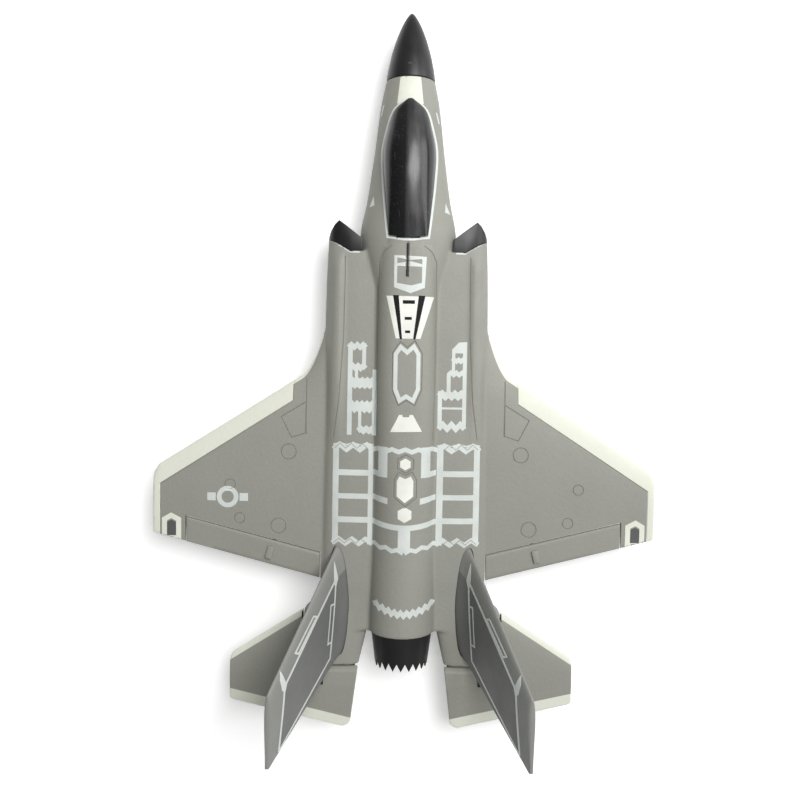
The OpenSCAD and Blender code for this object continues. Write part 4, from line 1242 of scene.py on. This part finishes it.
def aileron():
    """Tapered flap with a round nose on the hinge line."""
    rings = []
    slant = 1 / math.cos(math.atan(HINGE_SLOPE))
    for x in np.linspace(AIL_IN, AIL_OUT, 48):
        r = np.interp(x, (AIL_IN - 4, AIL_OUT + 4), HINGE_R)
        y0, y1 = hinge_y(x), wing_te(x)
        nose = [(y0 + r * slant * math.cos(a), r * math.sin(a))
                for a in np.linspace(math.pi / 2, 3 * math.pi / 2, 20)]
        h = AIL_TE_T / 2
        lower = [(y0 + (y1 - y0 - 0.5) * u, -r + (r - h) * u) for u in np.linspace(0.1, 1, 8)]
        tip = [(y1 - 0.1, -h + 0.3), (y1, 0), (y1 - 0.1, h - 0.3)]
        upper = [(y, -z) for y, z in lower[::-1]]
        rings.append([(x, y, WING_Z + z) for y, z in nose + lower + tip + upper])
    flap = loft("aileron", rings)
    modified(flap, "BEVEL", width=0.3, segments=2, angle_limit=math.radians(60))
    return cut(flap, leg_holes(WING_LINK, 6.5))


pair(aileron(), "aileron_flap", "aileron_{}", "grey_foam", FOAM, "aileron")

STAB_FRONT = 139.0
CORNER_R = 5.0


def stab_inner():
    """Part of the tailplane inboard of the booms' outer edge, with a chamfered front."""
    rings = []
    for x in np.linspace(STAB_IN[0], STAB_SPLIT + 0.4, 24):
        y1 = stab_te(max(x, STAB_IN[0]))
        side = [(STAB_FRONT, 0.5), (STAB_FRONT + 2.8, 2.7), (STAB_FRONT + 12, 2.7), (y1, 0.8)]
        ring = side + [(y, -h) for y, h in side[::-1]]
        rings.append([(x, y, STAB_Z + z) for y, z in ring])
    inner = loft("stab_inner", rings)
    slope = (STAB_IN[1] - STAB_IN[0]) / (stab_te(STAB_IN[1]) - STAB_FRONT)
    edge = [(STAB_IN[0] + slope * (y - STAB_FRONT), y) for y in (STAB_FRONT - 1, stab_te(32) - CORNER_R)]
    cx, cy = edge[1][0] + CORNER_R, stab_te(STAB_IN[1]) - CORNER_R - 1.4
    arc = [(cx - CORNER_R * math.cos(a), cy + CORNER_R * math.sin(a))
           for a in np.linspace(0, math.pi / 2, 10)]
    away = [(arc[-1][0], 190), (0, 190), (0, STAB_FRONT - 1)]
    return cut(inner, [prism("corner", edge[:1] + arc + away, -20, 20)])


def stabilizer():
    xs = list(np.linspace(STAB_SPLIT, STAB_TIP - 3, 12)) + [STAB_TIP - 1.6, STAB_TIP - 0.6, STAB_TIP]
    rings = []
    for x in xs:
        u = (x - STAB_SPLIT) / (STAB_TIP - STAB_SPLIT)
        y0 = STAB_LE[0] + (STAB_LE[1] - STAB_LE[0]) * u + max(0, x - STAB_TIP + 2) * 1.2
        t = STAB_T[0] + (STAB_T[1] - STAB_T[0]) * u
        rings.append(foil_ring(x, y0, stab_te(x) - max(0, x - STAB_TIP + 2) * 0.4, t, STAB_Z))
    outer = loft("stabilizer", rings)
    union(outer, [stab_inner()])
    modified(outer, "REMESH", mode="VOXEL", voxel_size=STAB_VOXEL)
    modified(outer, "SMOOTH", factor=0.5, iterations=3)
    rod = turned("rod", (60, PIVOT_Y, STAB_Z), (98, PIVOT_Y, STAB_Z), 0.85, n=32)
    return cut(outer, [rod] + leg_holes(TAIL_LINK, 146))


stab = stabilizer()
STAB_SKIN = surface_of(stab)
pair(stab, "tailplane", "stabilizer_{}", "grey_foam", STAB_FOAM, "stabilizer")


def fin():
    zs = list(np.linspace(FIN_BASE_Z, 24, 22)) + list(np.linspace(27, FIN_TOP_Z - 1.6, 16))
    rings = [fin_ring(z) for z in zs]
    for drop, thin, trim in ((0.8, 0.93, 0.2), (0.3, 0.75, 0.6), (0.0, 0.45, 1.3)):
        rings.append(fin_ring(FIN_TOP_Z - drop, 0, thin, trim))
    return loft("fin", rings)


fin_left = fin()
FIN_SKIN = surface_of(fin_left)
pair(fin_left, "canted_fin", "airframe", "fin_foam", FIN_FOAM, "fin")

# Dark strip on the boom's end, short of the tailplane's front edge: painted shade standing in for the
# shadowed gap there
gap_shade_strip = box("gap_shade_strip", (29.4, BOOM_END - 0.3, -3), (60.6, STAB_FRONT - 0.7, 2.4))
pair(gap_shade_strip, "gap_shade_strip", "airframe", "grey_foam", DARK_TAPE_AND_SHADE, None)


# ---------------------------------------------------------------- tapes and painted marks


def rect(x0, x1, y0, y1):
    return [[(x0, y0), (x1, y0), (x1, y1), (x0, y1)]]


def band(x0, x1, y, teeth, height, width, y1=None):
    """Toothed strip of tape between two ends."""
    return stroke(zigzag(x0, x1, y, teeth, height, y1), width)


def tape(name, shapes, material=TAPE, **laying):
    """Marks laid on the upper moulding."""
    place(laid_sheet(name, shapes, TOP, **laying), name, "airframe", material)


TOP = Plane(SKIN)


def canopy_border():
    """White line painted on the foam round the canopy."""
    ys = [-221.2, -219.5, -217.4] + list(np.linspace(-215, CANOPY_REAR - 0.6, 40))
    side = [(canopy_w(y) + 0.7, y) for y in ys]
    rear = [(3, CANOPY_REAR + 0.9), (-3, CANOPY_REAR + 0.9)]
    path = side + rear + [(-x, y) for x, y in side[::-1]]
    return stroke(path, 1.3)


def frame_marks():
    """Frame of the hatch behind the canopy, with a pair of wing shapes across it."""
    return [
        [(8.3, -122.6), (-11.7, -121.9), (-10.2, -120.6), (-1.7, -119.7), (6.6, -121.2)],
        [(6.6, -116.0), (-9.0, -115.7), (-9.0, -117.2), (-1.7, -119.0), (6.6, -117.6)],
        [(8.3, -122.6), (6.4, -122.4), (6.4, -105.5), (8.2, -102.9)],
        [(-11.7, -121.9), (-8.9, -121.9), (-8.9, -105.8), (-10.8, -102.8)],
        [(8.2, -102.9), (-2.0, -99.3), (-10.8, -102.8), (-8.9, -105.8), (-2.3, -104.1), (6.4, -105.5)],
    ]


WEDGE = [[(12.8, -97.6), (-16.7, -97.3), (-8.6, -71.3), (6.6, -71.4)]]
WEDGE_BARS = [
    [(8.7, -98.0), (5.2, -98.0), (2.7, -71.0), (4.1, -71.0)],
    [(-7.2, -97.9), (-11.3, -97.9), (-5.6, -71.0), (-4.1, -71.0)],
] + rect(2.6, -4.8, -95, -92.8) + rect(1.3, -3.1, -84.7, -82.9) + rect(0.9, -2.2, -76.4, -74.8)
TRAPEZOID = [[(9.1, -13.7), (-10.6, -14.1), (-4.8, -24.5), (-2.8, -24.5), (-2.4, -23), (1.4, -23),
              (1.8, -24.4), (3.8, -24.3)]]


def port_ladder():
    return (
        rect(33.5, 36.5, -67.7, -10.3) + rect(25.1, 27.6, -68.0, -52.5) + rect(18, 20.9, -51.5, -10.3)
        + rect(30, 32, -52, -45.5) + rect(27.5, 29.5, -26.4, -12.4)
        + band(36.3, 25.2, -66.2, 3, 1.8, 3) + band(35, 25.2, -53.0, 3, 1.6, 3.2)
        + band(35, 19.4, -43.1, 5, 1.3, 5) + band(35, 19.4, -28.1, 5, 1.5, 5)
        + band(29.5, 19, -13.6, 3, 1.4, 3.6)
    )


def starboard_ladder():
    return (
        rect(-35.7, -38.2, -69.6, -15.2) + rect(-28.8, -30.8, -64.9, -49.9)
        + rect(-25.7, -28.2, -49.4, -37.6) + rect(-20.3, -23, -38.8, -15.9)
        + [[(-28.8, -65), (-33, -69.4), (-38, -69.8), (-38, -62.6), (-28.8, -62.6)]]
        + band(-37, -29, -58, 3, 1.1, 2.8) + band(-37, -26.5, -49.7, 3, 1.6, 2.6)
        + band(-37, -21, -36.2, 4, 1.8, 4.0) + rect(-22, -37, -28.6, -27.3)
        + band(-37.4, -21, -16.4, 3, 3.0, 3.2)
    )


def grid_marks():
    """Large grid of the deck, its bars and toothed ends, drawn for both sides at once."""
    shapes = []
    for side, outer, inner in ((1, (41.2, 45.0), (19.5, 22.6)), (-1, (43.8, 47.7), (20.4, 24.5))):
        a, b = side * outer[0], side * outer[1]
        c, d = side * inner[0], side * inner[1]
        shapes += rect(a, b, -3.4, 57.4) + rect(c, d, -3.4, 59)
        for y0, y1 in ((11.6, 15.3), (26.7, 30.1), (41.5, 45.2)):
            shapes += rect(d, a, y0, y1)
        shapes += band(b, c, -2.6, 3, 3.2, 3.2) + band(b, c, 57.2, 3, 3.0, 3.0)
        shapes += band(b, c, -4.6, 3, 1.2, 1.0)
        shapes += rect(side * 10.4, side * 16.2, -4.2, 14.8)
        shapes += [[(side * 15, 11.2), (side * 20, 10.8), (side * 20, 14.2), (side * 15, 14.9)]]
        shapes += [[(side * 20, 26.2), (side * 10, 27.5), (side * 10, 31.4), (side * 20, 29.6)]]
    shapes += band(20, -21, -2.2, 5, 1.6, 2.8)
    shapes += stroke([(20 - 41 * k / 20, 43.4 + 2.3 * math.sin(math.pi * k / 20)) for k in range(21)], 3.4)
    shapes += rect(3.2, -4.4, 45, 60)
    left = zigzag(21.5, -0.1, 57.4, 3, 1.6, 60.6)
    right = zigzag(-22.5, -0.9, 57.4, 3, 1.6, 60.6)
    return shapes + stroke(left, 2.6) + stroke(right, 2.6)


def band_lines():
    """Thin grey teeth laid over the grid's end bands: painted shade of the lines pressed into them."""
    shapes = []
    for side, a, b in ((1, 44, 23), (-1, 46.5, 25)):
        shapes += stroke(zigzag(side * a, side * b, -3.4, 3, 3.2), 0.35)
        shapes += stroke(zigzag(side * a, side * b, 57.0, 3, 3.0), 0.35)
    return shapes


def grid_seals():
    return [seal(3.7, 6.1), LONG_SEAL, seal(4.9, 37.5)]


def rear_strip():
    """Toothed strip bowed over the barrel's rear end."""
    count = 20
    bow = [(18 - 38.2 * k / count, 94.6 + 4.6 * math.sin(math.pi * k / count)) for k in range(count + 1)]
    return stroke([(x, y + 2.1 * (0.5 - k % 2)) for k, (x, y) in enumerate(bow)], 2.9)


# Light shown as a frame and a dark core near each wing tip
TIP_FRAME = [(143.2, 46.4), (148, 43.9), (152.3, 46.4), (152.3, 58.4), (143.2, 58.4)]
TIP_CORE = [(145, 48.2), (148, 46.7), (150.6, 48.2), (150.6, 56.7), (145, 56.7)]


def wing_badge():
    """Plain open disc with a short bar each side."""
    bars = rect(119.6, 125, 28.7, 33.7) + rect(104.4, 99, 28.7, 33.7)
    return stroke(polygon(36, 5.4, 112, 31.2), 3.0, closed=True) + bars


NOSE_PANEL = [[(6.5, -236.3), (-6.3, -236.3), (-8.2, -218.4), (8.4, -218.4)]]
NOSE_DASHES = [[(17.4, -219.4), (16.5, -219.4), (18.1, -212.6), (18.9, -212.6)],
               [(-17.0, -214.6), (-16.1, -214.6), (-17.9, -207.8), (-18.8, -207.8)]]
SIDE_TRIANGLES = [[(22.2, -160.6), (24.9, -153.6), (21.5, -154.4)],
                  [(-23.2, -157), (-22.8, -150.8), (-26.4, -149.8)]]


tape("canopy_border", canopy_border(), spacing=1.0)
tape("nose_panel", NOSE_PANEL, CREAM_PAINT, spacing=1.0)
tape("nose_dashes", NOSE_DASHES)
tape("frame_marks", frame_marks(), spacing=1.0)
tape("wedge_white", WEDGE, WHITE_PAINT)
tape("wedge_black", WEDGE_BARS, DARK_TAPE_AND_SHADE, lift=0.2)
tape("octagon", stroke(OCTAGON, 2.5, closed=True))
tape("trapezoid", TRAPEZOID, WHITE_PAINT)
tape("port_ladder", port_ladder())
tape("starboard_ladder", starboard_ladder())
tape("deck_grid", grid_marks(), spacing=1.0)
tape("deck_seals", grid_seals(), WHITE_PAINT)
# Painted shade of the pressed lines in the grid's end bands
tape("band_lines", band_lines(), FOAM, lift=0.2, spacing=1.0)
tape("side_triangles", SIDE_TRIANGLES)
tape("rear_strip", rear_strip(), spacing=0.8)
tape("wing_badge", wing_badge())
for side_name, side in SIDES.items():
    edge = [(x, cowl_edge(x, 1.1)) for x in (51.4, COWL_STEP_X, 30.4)]
    tape(f"cowl_line_{side_name}", stroke(sided(side, edge), 1.0), spacing=0.7)
    frame_shapes = stroke(sided(side, TIP_FRAME), 3.2, closed=True)
    tape(f"tip_frame_{side_name}", frame_shapes, CREAM_PAINT, spacing=1.0)
    tape(f"tip_core_{side_name}", [sided(side, TIP_CORE)], DARK_GREY, lift=0.18)


def fin_marks():
    """Tape outline of the fin's inner face, as (along, up the fin)."""
    root_le, tip_le, tip_te, root_te = (80.4, 6.2), (126.2, 62.5), (161.8, 65.5), (128.8, 9)
    shapes = stroke([root_le, tip_le], 1.5) + stroke([tip_le, tip_te], 1.7)
    shapes += stroke([tip_te, root_te], 1.3) + stroke([root_te, root_le], 1.3)
    shapes += [[(68.7, 6.4), (80, 3.9), (84, 5.6), (83, 8.2), (74, 7.6)]]
    shapes += [[(116.5, 65.2), (126, 60.4), (129.6, 62), (127.6, 65), (121.4, 66.6)]]
    loop = [(95.8, 31.6), (96.8, 28.2), (112.4, 48.2), (111, 51.2)]
    shapes += stroke(loop, 1.1, closed=True)
    shapes += stroke([(95, 8), (95, 11.6), (118.6, 13.2), (118.6, 9.4)], 1.1)
    return shapes


def fin_plane():
    up = Vector((math.sin(FIN_CANT), 0, math.cos(FIN_CANT)))
    ray = Vector((math.cos(FIN_CANT), 0, -math.sin(FIN_CANT)))
    return Plane(FIN_SKIN, Vector((FIN_ROOT_X, 0, FIN_ROOT_Z)) - 60 * ray, (0, 1, 0), up, ray)


fin_sheet = laid_sheet("fin_tape", fin_marks(), fin_plane())
pair(fin_sheet, "fin_tape", "airframe", "fin_foam", TAPE, None)
# Dark mark across the tailplane's front edge where its inner and outer parts meet: painted shade of the
# slit between them
slit_shade = laid_sheet("root_slit_shade", stroke([(63.5, 104.2), (63.3, 110.8)], 0.9), Plane(STAB_SKIN))
pair(slit_shade, "root_slit_shade", "stabilizer_{}", "grey_foam", DARK_TAPE_AND_SHADE, None)

# ---------------------------------------------------------------- hardware

SLOT_OF = {row["node"]: row["material_slot"] for row in frame["record"]["subparts"]}
BODY_OF = {node: body for body, members in frame["record"]["behaviour"]["bodies"].items()
           for node in members}
LOOK_OF = {
    "black_satin": SATIN_BLACK, "carbon": CARBON, "steel": STEEL, "aluminium": ALUMINIUM,
    "nickel": NICKEL, "white_nylon": NYLON, "servo_blue": SERVO_BLUE, "battery_wrap": SHRINK_BLUE,
    "strap": STRAP, "lead": LEAD_RED, "circuit": BOARD,
}


def closed_over(bm):
    """Replaces a part by its convex hull, which fills its holes."""
    hull = bmesh.ops.convex_hull(bm, input=bm.verts)
    spare = set(hull["geom_interior"]) | set(hull["geom_unused"])
    bmesh.ops.delete(bm, geom=[v for v in spare if isinstance(v, bmesh.types.BMVert)], context="VERTS")
    keep = {f for f in hull["geom"] if isinstance(f, bmesh.types.BMFace)}
    bmesh.ops.delete(bm, geom=[f for f in bm.faces if f not in keep], context="FACES_ONLY")


def refined(node, width, material=None):
    """Copy of a CAD part with softened edges and its own material."""
    obj = copy_of(frame["nodes"][node], node)
    obj.parent = None
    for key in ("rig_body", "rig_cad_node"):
        del obj[key]
    with edited(obj.data) as bm:
        bmesh.ops.remove_doubles(bm, verts=bm.verts, dist=2e-6)
        bmesh.ops.dissolve_limit(bm, angle_limit=math.radians(1), verts=bm.verts, edges=bm.edges)
        if "wing_horn_plate" in node:
            closed_over(bm)
    if "custom_normal" in obj.data.attributes:
        obj.data.attributes.remove(obj.data.attributes["custom_normal"])
    obj.data.transform(Matrix.Translation((0, 0, -LIFT)) @ Matrix.Scale(1 / MM, 4))
    if width:
        modified(obj, "BEVEL", width=width, segments=2, angle_limit=math.radians(50))
    slot = SLOT_OF[node]
    return place(obj, f"{node}_part", BODY_OF[node], material or LOOK_OF[slot], [node], 40)


SOFT_EDGES = {"battery": 1.2, "speed_controller": 0.7, "receiver_board": 0.7, "battery_strap": 0.15,
              "servo": 0.5, "horn": 0.2, "plate": 0.2, "arm": 0.2, "magnets": 0.2, "motor": 0.2}
SPECIAL = {"antenna_wire": WIRE_BLACK, "wing_horn_plate_left": FOAM, "wing_horn_plate_right": FOAM}
REBUILT = ["upper_foam", "lower_foam", "canopy_shell", "canopy_base", "nose_cone", "exhaust_nozzle",
           "fan_rotor", "fan_spinner"]
REBUILT += [f"{part}_{side}" for part in ("intake_lip", "aileron", "stabilizer", "fin") for side in SIDES]
for node in sorted(frame["nodes"]):
    if node not in REBUILT:
        soft = max([w for word, w in SOFT_EDGES.items() if word in node] or [0])
        refined(node, 0.2 if "arm" in node else soft, SPECIAL.get(node))


# ---------------------------------------------------------------- floor, light and camera

# Dimmest and brightest sky, power of the lamps in watts, direction of the bright sky
SKY = (0.10, 0.42)
LAMP_W = 20.5
SHEEN_W = 5.0
SKY_SIDE = (-0.75, -0.35, 0.35)
FLOOR_R = 3.0
FLOOR_GLOW = 0.28
WHITE = (1, 1, 1, 1)


def softbox(name, spot, size, watts):
    lamp = bpy.data.lights.new(name, "AREA")
    lamp.shape = "RECTANGLE"
    lamp.size, lamp.size_y = size
    lamp.energy = watts
    obj = linked(name, lamp)
    obj.location = spot
    obj.rotation_euler = (Vector((0, -0.1, 0)) - obj.location).to_track_quat("-Z", "Y").to_euler()
    return obj


def floor():
    """Wide pale floor, see-through from below."""
    corners = ((-1, -1), (1, -1), (1, 1), (-1, 1))
    sheet = make("floor", [(x * FLOOR_R, y * FLOOR_R, 0) for x, y in corners], [(0, 1, 2, 3)])
    g = Graph("pale_floor")
    g.finish(color=(0.95, 0.95, 0.95, 1), rough=0.9, glow=FLOOR_GLOW, glow_color=WHITE)
    below = g.node("ShaderNodeNewGeometry").outputs["Backfacing"]
    seen = g.node("ShaderNodeMixShader", {"Fac": below})
    g.put(seen.inputs[1], g.tree.nodes["Principled BSDF"].outputs[0])
    g.put(seen.inputs[2], g.node("ShaderNodeBsdfTransparent").outputs[0])
    g.put(g.tree.nodes["Material Output"].inputs["Surface"], seen.outputs[0])
    sheet.data.materials.append(g.material)


def studio():
    """Soft sky, brighter high up on the light's side, a softbox and a side sheen for gloss."""
    g = Graph("studio", bpy.data.worlds, "Generated")
    lean = g.node("ShaderNodeVectorMath", {0: g.coords, 1: SKY_SIDE}, operation="DOT_PRODUCT")
    sky = g.tree.nodes["Background"]
    g.put(sky.inputs["Strength"], g.remap(lean.outputs["Value"], -0.7, 0.9, *SKY))
    g.put(sky.inputs["Color"], WHITE)
    bpy.context.scene.world = g.material
    softbox("softbox", (-0.42, -0.52, 1.25), (0.8, 0.9), LAMP_W)
    softbox("side_sheen", (-0.85, -0.35, 0.42), (0.9, 0.5), SHEEN_W).visible_diffuse = False


SENSOR_MM, LENS_MM = 36.0, 37.71
LENS_SHIFT = (-0.00875, -0.08125)


def camera():
    """Straight down over the canopy, the nose up the picture and leaning a degree to the right."""
    data = bpy.data.cameras.new("camera")
    data.sensor_width = SENSOR_MM
    data.lens = LENS_MM
    data.shift_x, data.shift_y = LENS_SHIFT
    data.clip_start = 0.01
    obj = linked("camera", data)
    obj.location = (-0.0003, -0.0736, 0.539 + LIFT * MM)
    obj.rotation_euler = (0, 0, math.radians(181))
    bpy.context.scene.camera = obj


floor()
studio()
camera()
bpy.context.scene.view_settings.view_transform = "Standard"
